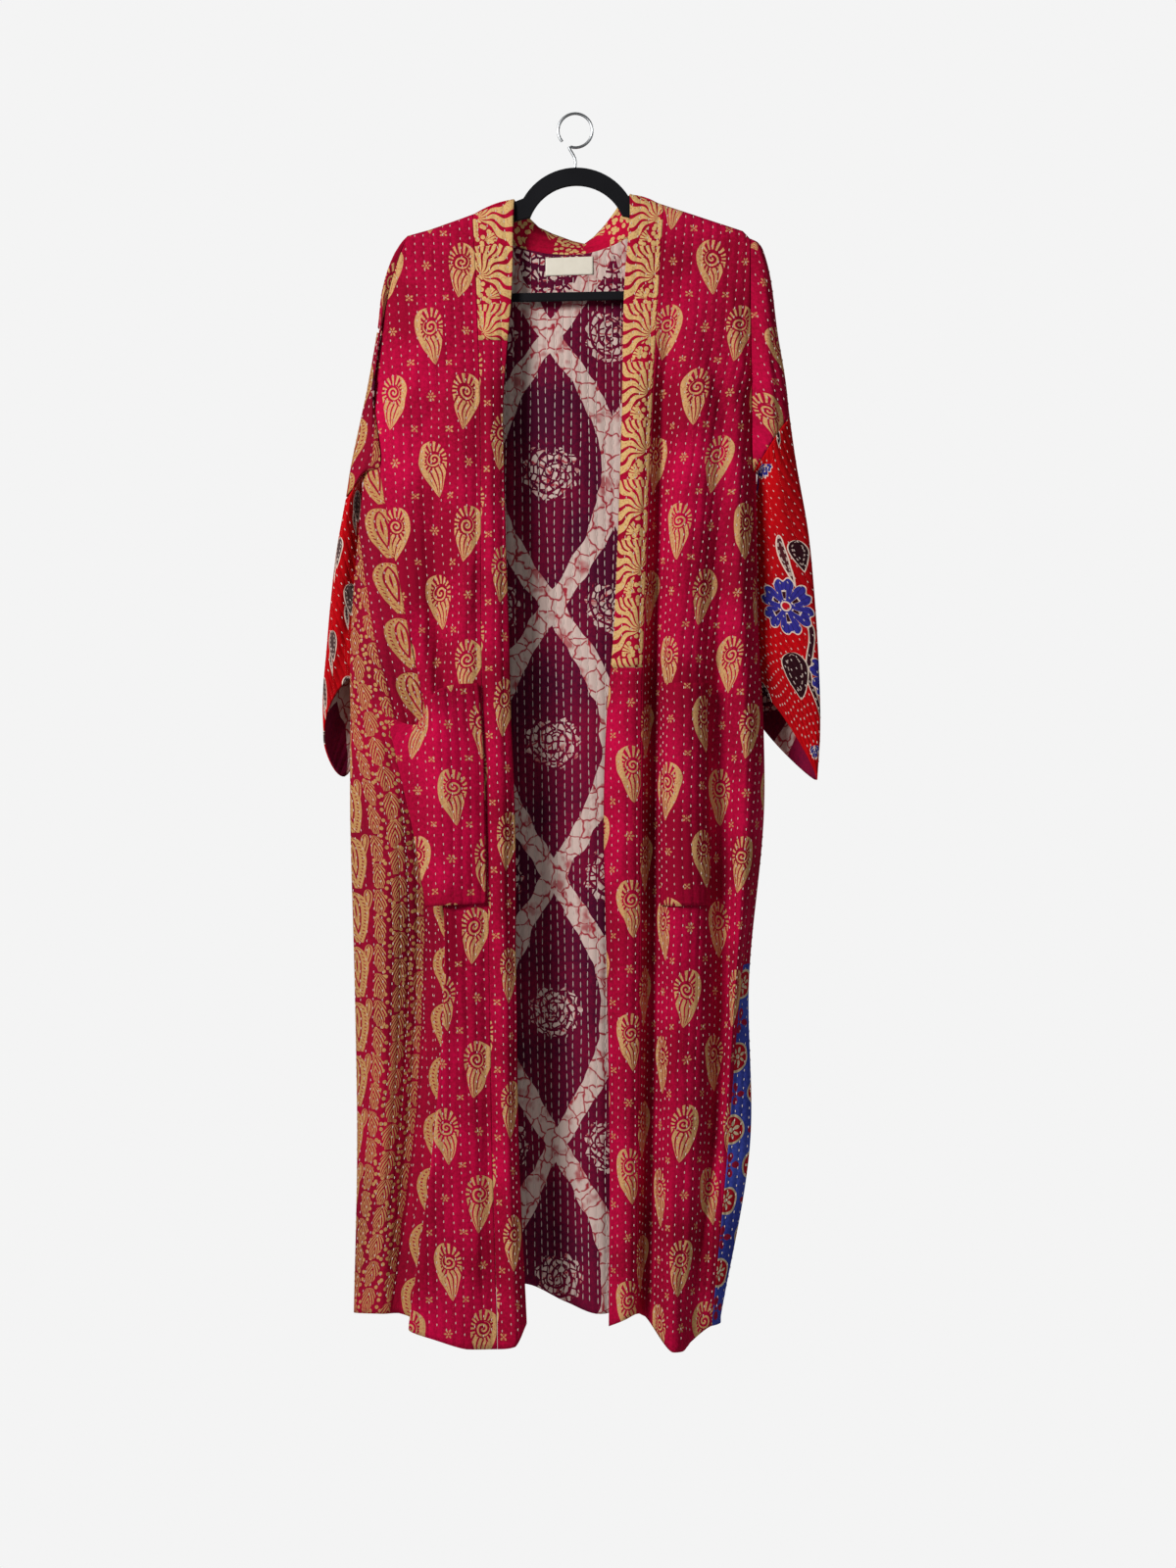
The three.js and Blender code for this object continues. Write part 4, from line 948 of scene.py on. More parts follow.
def fan_print(name, shift, facing):
    """The gold leaf print of the collar: one fan of wavy ribs in every repeat, spreading from a
    point near the seam, a crest over it, and below it a small fan among dots. facing is 1 where
    the fans open towards lower x of the flat cut, and -1 where they open the other way. Angles
    are in radians, up from the way the fan opens."""
    material, tree, shader = new_material(name)
    x, y, where = cut_mm(tree, shift, wander=0.8)
    x = add(tree, "Math MULTIPLY", x, float(facing))
    row = add(tree, "Math FRACT", add(tree, "Math DIVIDE", y, FAN_DROP_MM))
    local_y = add(tree, "Math MULTIPLY_ADD", row, FAN_DROP_MM, -FAN_BELOW_MM)
    reach, _ = polar(tree, x, local_y)
    wave = add(tree, "Math SINE", add(tree, "Math MULTIPLY", reach, 0.24))
    raised = add(tree, "Math MULTIPLY_ADD", wave, 2.6, local_y)
    away = add(tree, "Math MULTIPLY", x, -1.0)
    angle = add(tree, "Math ARCTAN2", raised, away)
    ribs = stripes(tree, add(tree, "Math ADD", angle, 6.0), FAN_RIB, 0.66)
    over = add(tree, "Math GREATER_THAN", angle, FAN_SPREAD[0])
    under = add(tree, "Math LESS_THAN", angle, FAN_SPREAD[1])
    crest = add(tree, "Math GREATER_THAN", reach, CREST_MM)
    crest = add(tree, "Math MULTIPLY", crest, add(tree, "Math GREATER_THAN", angle, 0.75))
    teeth = stripes(tree, add(tree, "Math ADD", angle, 6.0), 0.19, 0.6)
    ribs = add(tree, "Mix", crest, ribs, teeth)
    size = add(tree, "MapRange", angle, 0.2, 1.4, *FAN_REACH_MM)
    near = add(tree, "Math LESS_THAN", reach, size)
    fan = add(tree, "Math MULTIPLY", ribs, over, under, near)
    small_x = add(tree, "Math SUBTRACT", x, SMALL_FAN_AT_MM[0])
    small_y = add(tree, "Math SUBTRACT", local_y, SMALL_FAN_AT_MM[1])
    small_reach, small_angle = polar(tree, small_x, small_y)
    rays = stripes(tree, add(tree, "Math ADD", small_angle, 6.0), 0.3, 0.66)
    small = add(tree, "Math LESS_THAN", small_reach, SMALL_FAN_MM)
    small = add(tree, "Math MULTIPLY", rays, small, add(tree, "Math GREATER_THAN", small_angle, 2.0))
    dots = add(tree, "TexVoronoi", where, FINE_DOTS_PER_M, 0.0, 0.5, 0.8, voronoi_dimensions="2D")
    dots = add(tree, "Math LESS_THAN", dots, 0.4)
    outside = add(tree, "Math MULTIPLY", add(tree, "Math LESS_THAN", angle, -0.95), dots)
    beside = add(tree, "Math SUBTRACT", x, BESIDE_MM)
    bud_y = add(tree, "Math SUBTRACT", local_y, -14.0)
    _, _, bud = teardrop(tree, beside, bud_y, 24.0, 9.0, -2.0)
    bud = add(tree, "Math GREATER_THAN", bud, 0.0)
    rosette = flower(tree, beside, add(tree, "Math SUBTRACT", local_y, 12.0), 5.5, 6, 1.2)
    mask = add(tree, "Math MAXIMUM", fan, small, outside, bud, rosette)
    ground = dyed(tree, where, "880622", "bc0836", 0.7)
    colour = printed(tree, where, ground, mask, ink="d6b87c", rub="b98a52")
    set_shader(tree, shader, colour, cloth_relief(tree, where, STITCH_ROW_MM), **COTTON)
    return material


SHORT_PRINT_END = -268  # the height where the printed part ends, on the wearer's right
LONG_PRINT_END = -650  # and on the left
HALF_SEAM = SEAM_MM / 2
fans_right = fan_print("gold_leaf_print_right", (6, 18), 1)
fans_left = fan_print("gold_leaf_print_left", (-6, 18), -1)
magenta_band = buta_print("magenta_block_print_bands", (30, 70))
RIGHT_BAND, LEFT_BAND = (0, BAND_R), (BAND_L, LAST_FOLD)

for name, folds, top, bottom, outside, slot, length, area in (
    ("collar_right_print", RIGHT_BAND, None, SHORT_PRINT_END + HALF_SEAM,
     fans_right, "border_cotton", 0.17, 0.007),
    ("collar_right_plain", RIGHT_BAND, SHORT_PRINT_END - HALF_SEAM, None,
     magenta_band, "magenta_cotton", 1.17, 0.0415),
    ("collar_left_print", LEFT_BAND, None, LONG_PRINT_END + HALF_SEAM,
     fans_left, "border_cotton", 0.56, 0.0216),
    ("collar_left_plain", LEFT_BAND, LONG_PRINT_END - HALF_SEAM, None,
     magenta_band, "magenta_cotton", 0.76, 0.0333),
):
    grid = body_grid(*folds, top=top, bottom=bottom, creases=CREASES["collar"], per_fold=10)
    sew_piece(name, name, grid, 0 if folds is LEFT_BAND else -1, [outside, lining_fronts])

# The same band runs behind the neck, standing up from the back's neckline and leaning away.
COLLAR_LIFT_MM = -1.0  # its edge is tucked just under the seam
COLLAR_BULGE_MM = 3.0
COLLAR_COLUMNS = 61
COLLAR_ROWS = 10

neck_x = np.linspace(NECK_RIGHT, NECK_LEFT, COLLAR_COLUMNS)
seam_points, edge_points = neck_at(neck_x)
t = np.linspace(0, 1, COLLAR_ROWS)
collar_back_grid = edge_points[:, :, None] * (1 - t) + seam_points[:, :, None] * t
collar_back_grid[2] += COLLAR_BULGE_MM * np.sin(math.pi * t)[None] + COLLAR_LIFT_MM
along_neck = arc_across(collar_back_grid, COLLAR_COLUMNS // 2)
collar_back = cloth_piece("cloth_collar_back", collar_back_grid, -arc_down(collar_back_grid),
                          along_neck, [fans_left, fans_left])
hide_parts("collar_back")

# The sleeves are straight tubes sewn on at the body's edge, magenta above and red batik below.
# They are narrow for hanging cloth, so they fall beside the body, a little behind it. Each ring has
# its start, its front, its outer fold and its back. A start is a height on the body's side edge
# where the sleeve is sewn to it, and a point of its own below that.
LEFT_SLEEVE = [
    (-157, (211, -7.4, -150.5), (217, 0, -152.5), (211, 7.4, -150.5)),
    (-175, (218, -8.8, -168), (224.5, 0, -171), (218, 8.8, -168)),
    (-200, (222, -11, -195), (230.5, 0, -199), (222, 11, -195)),
    (-258, (225, -15, -255), (237.5, 1, -254), (225, 17, -255)),
    (-326, (229, -18, -320), (247, 3, -310), (229, 26, -318)),
    (-419, (232, -17, -382), (252, 5, -352.5), (231, 32, -376)),
    ((214, 9, -421), (236, -10, -424), (260, 6, -408), (235, 38, -414)),
    ((205, 20, -486), (240, 0, -492), (274.5, 8, -490), (236, 44, -486)),
    ((194, 25, -540), (240, 3, -566), (281.5, 9, -561), (236, 49, -556)),
    ((178, 28, -585), (239, 4, -628), (287, 10, -647), (234, 52, -622)),
    ((166, 29, -607), (238, 4, -667), (288.5, 10, -722), (232, 52, -690)),
    ((156, 30, -620), (236, 4, -695), (285, 9, -780), (231, 50, -728)),
]
RIGHT_SLEEVE = [
    (-153.5, (-203, -7.2, -151), (-204.5, 0, -152), (-203, 7.2, -151)),
    (-171.5, (-212, -8.4, -167), (-215.5, 0, -171), (-212, 8.4, -167)),
    (-203, (-222, -11, -199), (-226.5, 0, -206), (-222, 11, -199)),
    (-262, (-228, -14, -256), (-232, 0, -251), (-228, 16, -256)),
    (-330, (-236, -15, -322), (-243.5, 2, -316), (-237, 24, -320)),
    (-416, (-246, -13, -410), (-264, 5, -413), (-248, 32, -410)),
    ((-249, 11, -418), (-259, -5, -437), (-270, 6, -450), (-256, 36, -436)),
    ((-247, 24, -488), (-272, 2, -496), (-281, 9, -510), (-264, 42, -500)),
    ((-243, 26, -540), (-279, 5, -552), (-288, 11, -571), (-270, 47, -566)),
    ((-226, 32, -581.3), (-281, 7, -600), (-293, 13, -632), (-268, 50, -632)),
    ((-216.2, 33.1, -604.3), (-281, 8, -641), (-297, 14, -690), (-264, 51, -708)),
    ((-208, 34, -618), (-280, 9, -676), (-297, 15, -734), (-276, 50, -776)),
]
WAX_MM = 1.8
CREAM_WAX = "d6c0b0"
DARK_PLUM = "34101c"


def wax_drawn(tree, colour, depth, fill):
    """Lays a motif over a colour: the cream line that the wax left, and inside it the fill."""
    outline = add(tree, "Math GREATER_THAN", depth, 0.0)
    inside = add(tree, "Math GREATER_THAN", depth, WAX_MM)
    colour = add(tree, "Mix", outline, colour, srgb(CREAM_WAX), data_type="RGBA")
    return add(tree, "Mix", inside, colour, fill, data_type="RGBA")


def bloom(tree, colour, x, y, centre, radius, petals):
    """An indigo flower of heart-shaped petals, a dark drop in each, round a red eye. The numbers
    are shares of its radius."""
    x = add(tree, "Math SUBTRACT", x, centre[0])
    y = add(tree, "Math SUBTRACT", y, centre[1])
    reach, angle = polar(tree, x, y)
    lobes = add(tree, "Math SINE", add(tree, "Math MULTIPLY", angle, petals / 2))
    lobes = add(tree, "Math ABSOLUTE", lobes)
    heart = add(tree, "Math MULTIPLY", add(tree, "Math POWER", lobes, 14.0), -0.17 * radius)
    edge = add(tree, "Math MULTIPLY_ADD", add(tree, "Math POWER", lobes, 0.24), 0.75 * radius,
               add(tree, "Math ADD", heart, 0.34 * radius))
    depth = add(tree, "Math SUBTRACT", edge, reach)
    streaks = stripes(tree, add(tree, "Math ADD", angle, 8.0), math.tau / petals / 5, 0.2)
    shade = add(tree, "Mix", streaks, srgb("322e86"), srgb("282468"), data_type="RGBA")
    colour = wax_drawn(tree, colour, depth, shade)
    middle = add(tree, "Math SUBTRACT", lobes, 0.9)
    middle = add(tree, "Math MULTIPLY", middle, 70.0)
    ring = add(tree, "Math SUBTRACT", reach, 0.4 * radius)
    ring = add(tree, "Math ABSOLUTE", ring)
    ring = add(tree, "Math SUBTRACT", 0.17 * radius, ring)
    colour = wax_drawn(tree, colour, add(tree, "Math MINIMUM", middle, ring), srgb(DARK_PLUM))
    eye = add(tree, "Math SUBTRACT", 0.19 * radius, reach)
    return wax_drawn(tree, colour, eye, srgb("b01020"))


def dark_leaf(tree, colour, x, y, centre, degrees, size, tone):
    """A dark leaf with a ring of cream dots. size is its length, width and the bend of its tip."""
    leaf_x, leaf_y = turned(tree, x, y, centre, degrees)
    _, along, depth = teardrop(tree, leaf_x, leaf_y, *size)
    dots = stripes(tree, along, 0.14, 0.5)
    dots = add(tree, "Math MULTIPLY", dots, add(tree, "Math COMPARE", depth, 0.24 * size[1], 0.9))
    fill = add(tree, "Mix", dots, srgb(tone), srgb("b09a90"), data_type="RGBA")
    return wax_drawn(tree, colour, depth, fill)


# The flowers stand in a wide half drop, the grey leaves in a narrow one. Places in them are in mm
# from the middle. A leaf has its place, turn, size and tone, a flower its place, radius and petals.
FLOWER_CELL_MM = (130.0, 330.0)
LEAF_CELL_MM = (26.0, 110.0)
FLOWER_LEAVES = [
    ((5, 58), 158, (62.0, 12.0, 9.0), "4a1c22"),
    ((26, 62), -14, (38.0, 26.0, 2.0), "2c0e16"),
    ((-11, -78), 0, (56.0, 42.0, -2.0), "2c0e16"),
]
FLOWERS = [((39, -83), 30.0, 6), ((3, 164), 14.0, 8), ((0, 0), 33.0, 6)]
GREY_LEAVES = [((-4, -22), 74, (30.0, 7.0, 5.0), "4c3034"), ((0, 0), 8, (38.0, 19.0, 3.0), "54403f")]
STEM_MM = 4.6
STEM_MIDDLE_MM = -81.0
STEM_REACH_MM = 56.0
STEM_ASIDE_MM = 16.0
STEM_SWAY_MM = 8.0
STEM_TURN = 0.055  # radians of its wave in a mm of height
SLEEVE_LEAN = 0.55  # the red sleeves' rows of stitches move aside by this in a mm of height


def red_batik(name, shift, flowers):
    """The red batik of the lower sleeves: indigo flowers, dark leaves and stems, each with the
    cream line of its wax. Where flowers is false, only smaller grey leaves are printed."""
    material, tree, shader = new_material(name)
    x, y, where = cut_mm(tree, shift, wander=1.2)
    x = add(tree, "Math MULTIPLY", x, -1.0)
    cell = FLOWER_CELL_MM if flowers else LEAF_CELL_MM
    local_x, local_y, _ = half_drop(tree, x, y, *cell)
    colour = dyed(tree, where, "a0060f", "c60812", 0.8)
    if flowers:
        wave = add(tree, "Math SINE", add(tree, "Math MULTIPLY", local_y, STEM_TURN))
        stem = add(tree, "Math ADD", local_x, -STEM_ASIDE_MM)
        stem = add(tree, "Math MULTIPLY_ADD", wave, STEM_SWAY_MM, stem)
        stem = add(tree, "Math ABSOLUTE", stem)
        beyond = add(tree, "Math SUBTRACT", local_y, STEM_MIDDLE_MM)
        beyond = add(tree, "Math SUBTRACT", add(tree, "Math ABSOLUTE", beyond), STEM_REACH_MM)
        beyond = add(tree, "Math MAXIMUM", beyond, 0.0)
        stem = add(tree, "Math MULTIPLY_ADD", beyond, 0.5, stem)
        stem = add(tree, "Math SUBTRACT", STEM_MM, stem)
        colour = wax_drawn(tree, colour, stem, srgb(DARK_PLUM))
    for leaf in FLOWER_LEAVES if flowers else GREY_LEAVES:
        colour = dark_leaf(tree, colour, local_x, local_y, *leaf)
    for blossom in FLOWERS if flowers else []:
        colour = bloom(tree, colour, local_x, local_y, *blossom)
    relief = cloth_relief(tree, where, STITCH_ROW_MM, SLEEVE_LEAN)
    set_shader(tree, shader, colour, relief, **COTTON)
    return material


def through_points(table, t, s):
    """The (3, columns, rows) grid through a table of rows of points: t along a row, s down them."""
    rows = [along_rows(np.repeat(row.T[:, :, None], len(t), axis=2), t) for row in table]
    columns = np.array(rows).transpose(2, 1, 0)
    lines = [along_rows(np.repeat(line[:, :, None], len(s), axis=2), s) for line in columns]
    return np.stack(lines, axis=1)


ARMHOLE_GAP_MM = 0.6
ARMHOLE_DROPS_MM = (4.5, 1.4, 0, 1.4, 4.5)  # over the shoulder, from the front to the back
SLEEVE_COLUMNS = 49
SLEEVE_ROWS = 131
SLEEVE_SEAM = 0.12  # a hair of room at a seam between two pieces, as a share of a row


def sleeve_grid(side, rings):
    """A sleeve's tube, and how many rings down each of its rows lies. The armhole is ring 0."""
    front, behind = (SIDE_L, LAST_BACK) if side > 0 else (SIDE_R, FIRST_BACK)
    top = float(top_of(np.array([front], float))[0][0])
    armhole = []
    for fold, drop in zip((front, front, front, behind, behind), ARMHOLE_DROPS_MM):
        x, y, z = on_body(fold, top - drop)[:, 0]
        armhole.append((x + side * ARMHOLE_GAP_MM, y if drop else 0, z))
    table = [armhole]
    for start, *middle in rings:
        if isinstance(start, tuple):
            ends = start, (start[0], start[1] + SEAM_MM, start[2])
        else:  # while the sleeve is sewn to the body, a ring starts and ends on its side edge
            off = np.array([side * ARMHOLE_GAP_MM, 0, 0])
            ends = [tuple(on_body(seam, start)[:, 0] + off) for seam in (front, behind)]
        table.append([ends[0], *middle, ends[1]])
    s = np.linspace(0, len(rings), SLEEVE_ROWS)
    return through_points(np.array(table, float), np.linspace(0, 4, SLEEVE_COLUMNS), s), s


red_flowers = red_batik("red_batik_flowers", (-100.6, 576), True)
red_leaves = red_batik("red_batik_leaves", (-8.5, 509), False)
magenta_sleeves = buta_print("magenta_block_print_sleeves", (12, 44))
border_sleeve = paisley_border("paisley_border_sleeve", (70, 30), -1)
left_sleeve = sleeve_grid(1, LEFT_SLEEVE)
right_sleeve = sleeve_grid(-1, RIGHT_SLEEVE)

for name, sleeve, first, last, outside, slot, flat, area in (
    ("sleeve_left_upper", left_sleeve, 0, 6, magenta_sleeves, "magenta_cotton", (0.19, 0.27), 0.0206),
    ("sleeve_left_lower", left_sleeve, 6, 12, red_flowers, "red_cotton", (0.43, 0.43), 0.0686),
    ("sleeve_right_upper", right_sleeve, 0, 4, magenta_sleeves, "magenta_cotton",
     (0.051, 0.119), 0.0039),
    ("sleeve_right_border", right_sleeve, 4, 7, border_sleeve, "border_cotton",
     (0.115, 0.195), 0.0134),
    ("sleeve_right_lower", right_sleeve, 7, 12, red_leaves, "red_cotton", (0.38, 0.33), 0.0388),
):
    grid, s = sleeve
    part = grid[:, :, (s >= first - 1e-6) & (s <= last + 1e-6)].copy()
    if first > 0:
        part[:, :, 0] += SLEEVE_SEAM * (part[:, :, 1] - part[:, :, 0])
    if sleeve is left_sleeve:  # so that the outer face looks out here too
        part = part[:, ::-1]
    part = creased(part, CREASES.get(name, []))
    sew_piece(name, name, part, SLEEVE_COLUMNS // 4, [outside, lining_fronts])

# Two patch pockets of the magenta cotton are sewn on at three sides, with a turned and stitched
# hem at the mouth. The right one sags open at its outer corner, the left one lies along the folds.
RIGHT_POCKET = [  # its mouth, a row just under it, its middle and its bottom
    [(-112, -40, -668), (-143, -50, -671), (-161, -56, -679), (-184, -47, -716), (-218, -39, -706)],
    [(-106, -40, -750), (-129, -47, -750), (-158, -55, -750), (-184, -42, -759), (-207, -38, -756)],
    [(-104, -41, -842), (-126, -48, -842), (-155, -54, -842), (-171, -44, -842), (-188, -38, -840)],
    [(-103, -41, -923), (-124, -48, -924), (-151, -53, -925), (-160, -48, -926), (-173, -40, -928)],
]
LEFT_POCKET = dict(first=2.6, last=4.45, top=-668, bottom=-926, stand=3, puff=5)
POCKET_COLUMNS, POCKET_ROWS = 31, 51
MOUTH_HEM_MM = 22.0
HEM_STAND_MM = 0.9
HEM_STEP_MM = 1.2


def with_mouth_hem(grid):
    """The hem at the mouth is doubled cloth, so it stands out a little and ends in a step."""
    thick = 1 / (1 + np.exp((arc_down(grid) - MOUTH_HEM_MM) / HEM_STEP_MM))
    return grid + grid_normals(grid) * HEM_STAND_MM * thick


magenta_pocket_right = buta_print("magenta_block_print_pocket_right", (4, 96))
magenta_pocket_left = buta_print("magenta_block_print_pocket_left", (21, 12))

grid = through_points(np.array(RIGHT_POCKET, float), np.linspace(0, 4, 45), np.linspace(0, 3, 65))
sew_piece("pocket_right", "pocket_right", with_mouth_hem(grid), 0,
          [magenta_pocket_right, lining_fronts])

folds = SIDE_L + np.linspace(LEFT_POCKET["first"], LEFT_POCKET["last"], POCKET_COLUMNS)[:, None]
heights = np.linspace(LEFT_POCKET["top"], LEFT_POCKET["bottom"], POCKET_ROWS)[None]
grid = on_body(folds, heights).reshape(3, POCKET_COLUMNS, POCKET_ROWS)
arch = np.sin(math.pi * np.linspace(0, 1, POCKET_COLUMNS))[:, None]
bulge = arch * (1 - np.linspace(0, 1, POCKET_ROWS)[None]) ** 0.5
grid = grid + grid_normals(grid) * (LEFT_POCKET["stand"] + LEFT_POCKET["puff"] * bulge)
sew_piece("pocket_left", "pocket_left", with_mouth_hem(grid), -1,
          [magenta_pocket_left, lining_fronts])

# The label is a cream woven tape, sewn inside the back of the neck. It is left bare here.
LABEL = dict(x=-7, z=-175, width=56, height=21, tilt=0.035)
LABEL_OFF_MM = 1.0

label_tape, tree, shader = new_material("cream_woven_tape")
where = add(tree, "UVMap", uv_map="cut")
ribs = add(tree, "TexWave", where, 900.0, 0.4, 1.0, wave_type="BANDS", bands_direction="Y")
soil = add(tree, "TexNoise", where, 60.0, 3.0, 0.6)
tone = add(tree, "Mix", soil, srgb("d3cab8"), srgb("e6dfd0"), data_type="RGBA")
woven = add(tree, "Bump", 0.3, 0.0003, None, ribs)
set_shader(tree, shader, tone, woven, Roughness=0.7, Specular_IOR_Level=0.3)

label_u, label_v = np.meshgrid(
    np.linspace(-0.5, 0.5, 29) * LABEL["width"], np.linspace(0.5, -0.5, 12) * LABEL["height"],
    indexing="ij",
)
label_x = LABEL["x"] + label_u
label_z = LABEL["z"] + label_v + label_u * LABEL["tilt"]
row = int(np.abs(back_grid[2, centre_back] - LABEL["z"]).argmin())
label_y = np.interp(label_x, back_grid[0, :, row], back_grid[1, :, row]) - CLOTH_MM - LABEL_OFF_MM
label_grid = np.array([label_x, label_y, label_z])[:, ::-1]
label = cloth_piece("woven_label", label_grid, label_x[::-1], label_z[::-1], [label_tape])
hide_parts("label")

# Rows of running stitches in thick cream thread hold the robe's layers together, the way old
# cloths are quilted by hand: each stitch shows for a third of its length on the outside, and the
# rest of it on the lining. They are low ridges of thread, joined to one mesh for each piece.
STITCH_LONG_MM = 3.4
STITCH_EVERY_MM = 11.0
LINING_STITCH_MM = 8.0
THREAD_WIDE_MM = 1.1
THREAD_HIGH_MM = 0.55
THREAD_OFF_MM = 0.05
ROW_EDGE_MM = 2.0  # no stitch is nearer than this to a piece's side edge
ROW_END_MM = 6.0

thread_cotton, tree, shader = new_material("cream_quilting_thread")
where = add(tree, "TexCoord").outputs["Object"]
twist = add(tree, "TexNoise", where, 900.0, 2.0, 0.5)
tone = add(tree, "Mix", twist, srgb("b7a39a"), srgb("e2d5cb"), data_type="RGBA")
plied = add(tree, "Bump", 0.4, 0.0003, None, twist)
set_shader(tree, shader, tone, plied, Roughness=0.7, Specular_IOR_Level=0.3)


def sewn_line(grid, across, u_of_row):
    """The (3, rows) line over a grid where across equals a value given for each row."""
    line = np.full((3, grid.shape[2]), np.nan)
    for j in range(grid.shape[2]):
        run = across[:, j]
        order = 1 if run[-1] > run[0] else -1
        value = u_of_row[j]
        if min(run[0], run[-1]) + ROW_EDGE_MM < value < max(run[0], run[-1]) - ROW_EDGE_MM:
            for k in range(3):
                line[k, j] = np.interp(value, run[::order], grid[k, ::order, j])
    return line


def stitches_along(line, facing, every, long, start):
    """The stitches of one row, as (n, 8, 3) points: two ends and two low arches between."""
    ok = ~np.isnan(line[0])
    if ok.sum() < 3:
        return np.empty((0, 8, 3))
    line, facing = line[:, ok], facing[:, ok]
    run = np.concatenate([[0], np.cumsum(np.linalg.norm(np.diff(line, axis=1), axis=0))])
    count = int((run[-1] - ROW_END_MM - start) // every)
    if count < 1:
        return np.empty((0, 8, 3))
    begin = start + every * np.arange(count)
    where = np.stack([begin, begin + 0.25 * long, begin + 0.75 * long, begin + long])
    point = np.stack([np.interp(where, run, line[k]) for k in range(3)], axis=-1)
    up = np.stack([np.interp(where, run, facing[k]) for k in range(3)], axis=-1)
    up /= np.linalg.norm(up, axis=-1, keepdims=True)
    ahead = point[3] - point[0]
    side = np.cross(ahead[None], up)
    side /= np.linalg.norm(side, axis=-1, keepdims=True)
    half = THREAD_WIDE_MM / 2
    low = point + THREAD_OFF_MM * up
    arches = []
    for k in (1, 2):
        arches += [low[k] - side[k] * half, low[k] + up[k] * THREAD_HIGH_MM, low[k] + side[k] * half]
    return np.stack([low[0], *arches, low[3]], axis=1)


# The faces of one stitch over its eight points.
STITCH_FACES = [
    (0, 1, 2), (0, 2, 3), (0, 3, 1),
    (1, 4, 5, 2), (2, 5, 6, 3), (3, 6, 4, 1),
    (7, 5, 4), (7, 6, 5), (7, 4, 6),
]


def quilting(name, grid, across, every_row, long, lean=0.0, inside=False):
    """All the stitches of one piece, in rows every_row apart. lean is how far the rows move aside
    in a mm of height. Each row wanders in a long and a short wave, as hand sewing does."""
    normals = grid_normals(grid)
    base = grid - normals * CLOTH_MM if inside else grid
    facing = -normals if inside else normals
    heights = grid[2].mean(axis=0)
    leaning = lean * heights
    first = math.ceil((across.min() - leaning.max()) / every_row)
    last = math.floor((across.max() - leaning.min()) / every_row)
    rng = np.random.default_rng(len(name) * 7 + int(inside))
    found = []
    for n in range(first, last + 1):
        wobble = 0.7 * np.sin(heights / 60 + 2.1 * n) + 0.5 * np.sin(heights / 23 + 1.3 * n)
        value = (n + 0.5) * every_row + leaning + wobble
        line = sewn_line(base, across, value)
        face = sewn_line(facing, across, value)
        every = STITCH_EVERY_MM * rng.uniform(0.93, 1.07)
        start = rng.uniform(2, STITCH_EVERY_MM)
        found.append(stitches_along(line, face, every, long, start))
    points = np.concatenate(found) / 1000
    faces = [[8 * k + i for i in face] for k in range(len(points)) for face in STITCH_FACES]
    mesh = bpy.data.meshes.new(name)
    mesh.from_pydata(points.reshape(-1, 3).tolist(), [], faces)
    mesh.materials.append(thread_cotton)
    stitches = bpy.data.objects.new(name, mesh)
    bpy.context.collection.objects.link(stitches)
    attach(stitches, "root")


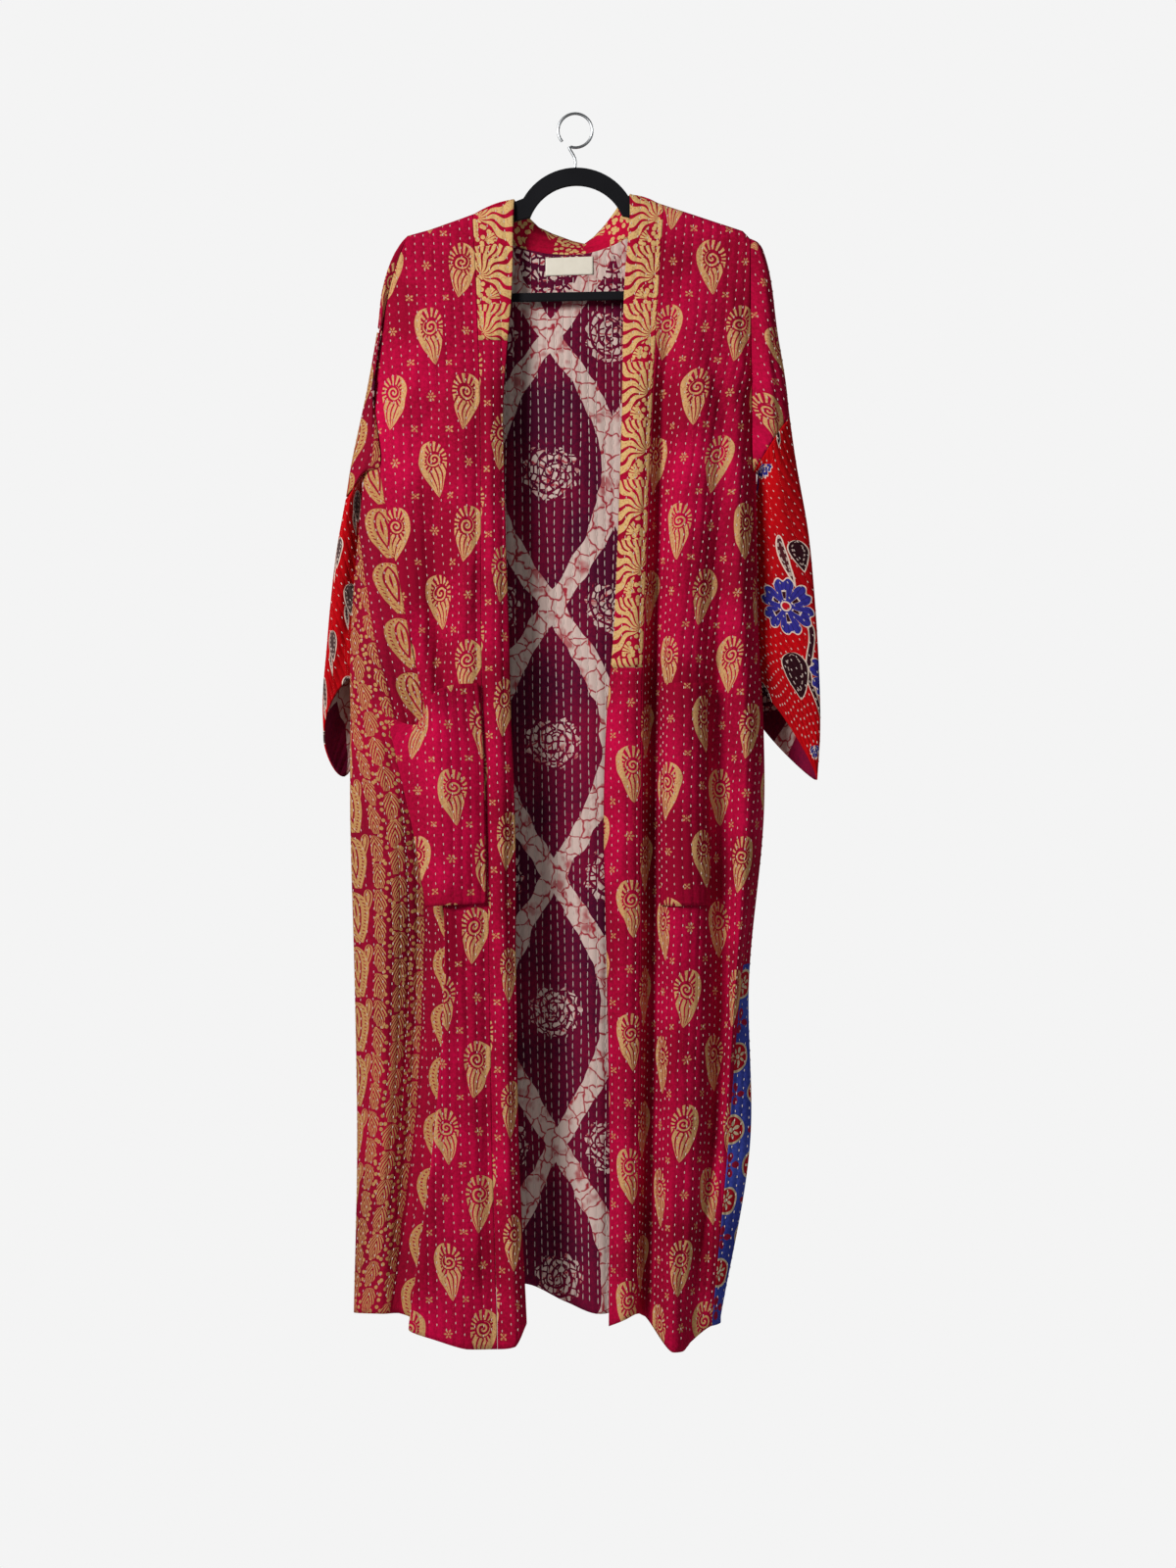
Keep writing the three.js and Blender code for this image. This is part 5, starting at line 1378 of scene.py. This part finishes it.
STRAIGHT_ROWS = [
    "back", "front_right", "front_left", "side_panel_right", "side_strip_left",
    "collar_right_print", "collar_right_plain", "collar_left_print", "collar_left_plain",
    "pocket_right", "pocket_left", "sleeve_left_upper", "sleeve_right_upper",
    "sleeve_right_border",
]
SLANTED_ROWS = ["sleeve_left_lower", "sleeve_right_lower"]
for name in STRAIGHT_ROWS + SLANTED_ROWS:
    lean = SLEEVE_LEAN if name in SLANTED_ROWS else 0.0
    quilting("stitches_" + name, *quilted[name], STITCH_ROW_MM, STITCH_LONG_MM, lean)
quilting("stitches_lining_back", *quilted["back"], LINING_ROW_MM, LINING_STITCH_MM, inside=True)

# The robe hangs over a plain pale floor, in front of an even pale background that only the
# camera sees. The light is plain and soft: a large lamp from the left, a weak one from the
# right, one from behind for the back, and a dim even glow all round.
FLOOR_Z = -2.2
FLOOR_RADIUS = 1.3
WORLD_LIGHT = 0.17

bpy.ops.object.select_all(action="DESELECT")
bpy.ops.mesh.primitive_circle_add(
    vertices=128, radius=FLOOR_RADIUS, fill_type="NGON", location=(0, 0, FLOOR_Z)
)
floor = bpy.context.object
floor.name = "pale_floor"
bpy.ops.object.transform_apply(location=True, rotation=False, scale=False)
paper, tree, shader = new_material("matt_pale_paper")
where = add(tree, "TexCoord").outputs["Object"]
mottle = add(tree, "TexNoise", where, 3.0, 1.0, 0.5)
tone = add(tree, "Mix", mottle, srgb("f3f3f3"), srgb("f5f5f5"), data_type="RGBA")
set_shader(tree, shader, tone, Roughness=0.95, Specular_IOR_Level=0.05)
floor.data.materials.append(paper)

world = bpy.data.worlds.new("studio")
bpy.context.scene.world = world
world.use_nodes = True
tree = world.node_tree
tree.nodes.clear()
seen = add(tree, "LightPath").outputs["Is Camera Ray"]
glow = (WORLD_LIGHT, WORLD_LIGHT, WORLD_LIGHT, 1)
shown = add(tree, "Mix", seen, glow, srgb("f4f4f4"), data_type="RGBA")
add(tree, "OutputWorld", add(tree, "Background", shown, 1.0))
ROBE_MIDDLE = (0, 0, -0.75)
LIGHTS = [  # name, where it stands, size and power
    ("key", (-1.9, -2.3, 0.6), 0.9, 108),
    ("fill", (2.4, -2.4, -0.4), 2.2, 9),
    ("rear", (1.4, 2.8, 0.5), 1.6, 45),
]
for name, position, size, power in LIGHTS:
    bpy.ops.object.light_add(type="AREA", location=position)
    light = bpy.context.object
    light.name = name
    light.data.size = size
    light.data.energy = power
    aim = Vector(ROBE_MIDDLE) - Vector(position)
    light.rotation_euler = aim.to_track_quat("-Z", "Y").to_euler()
bpy.context.scene.view_settings.view_transform = "Standard"
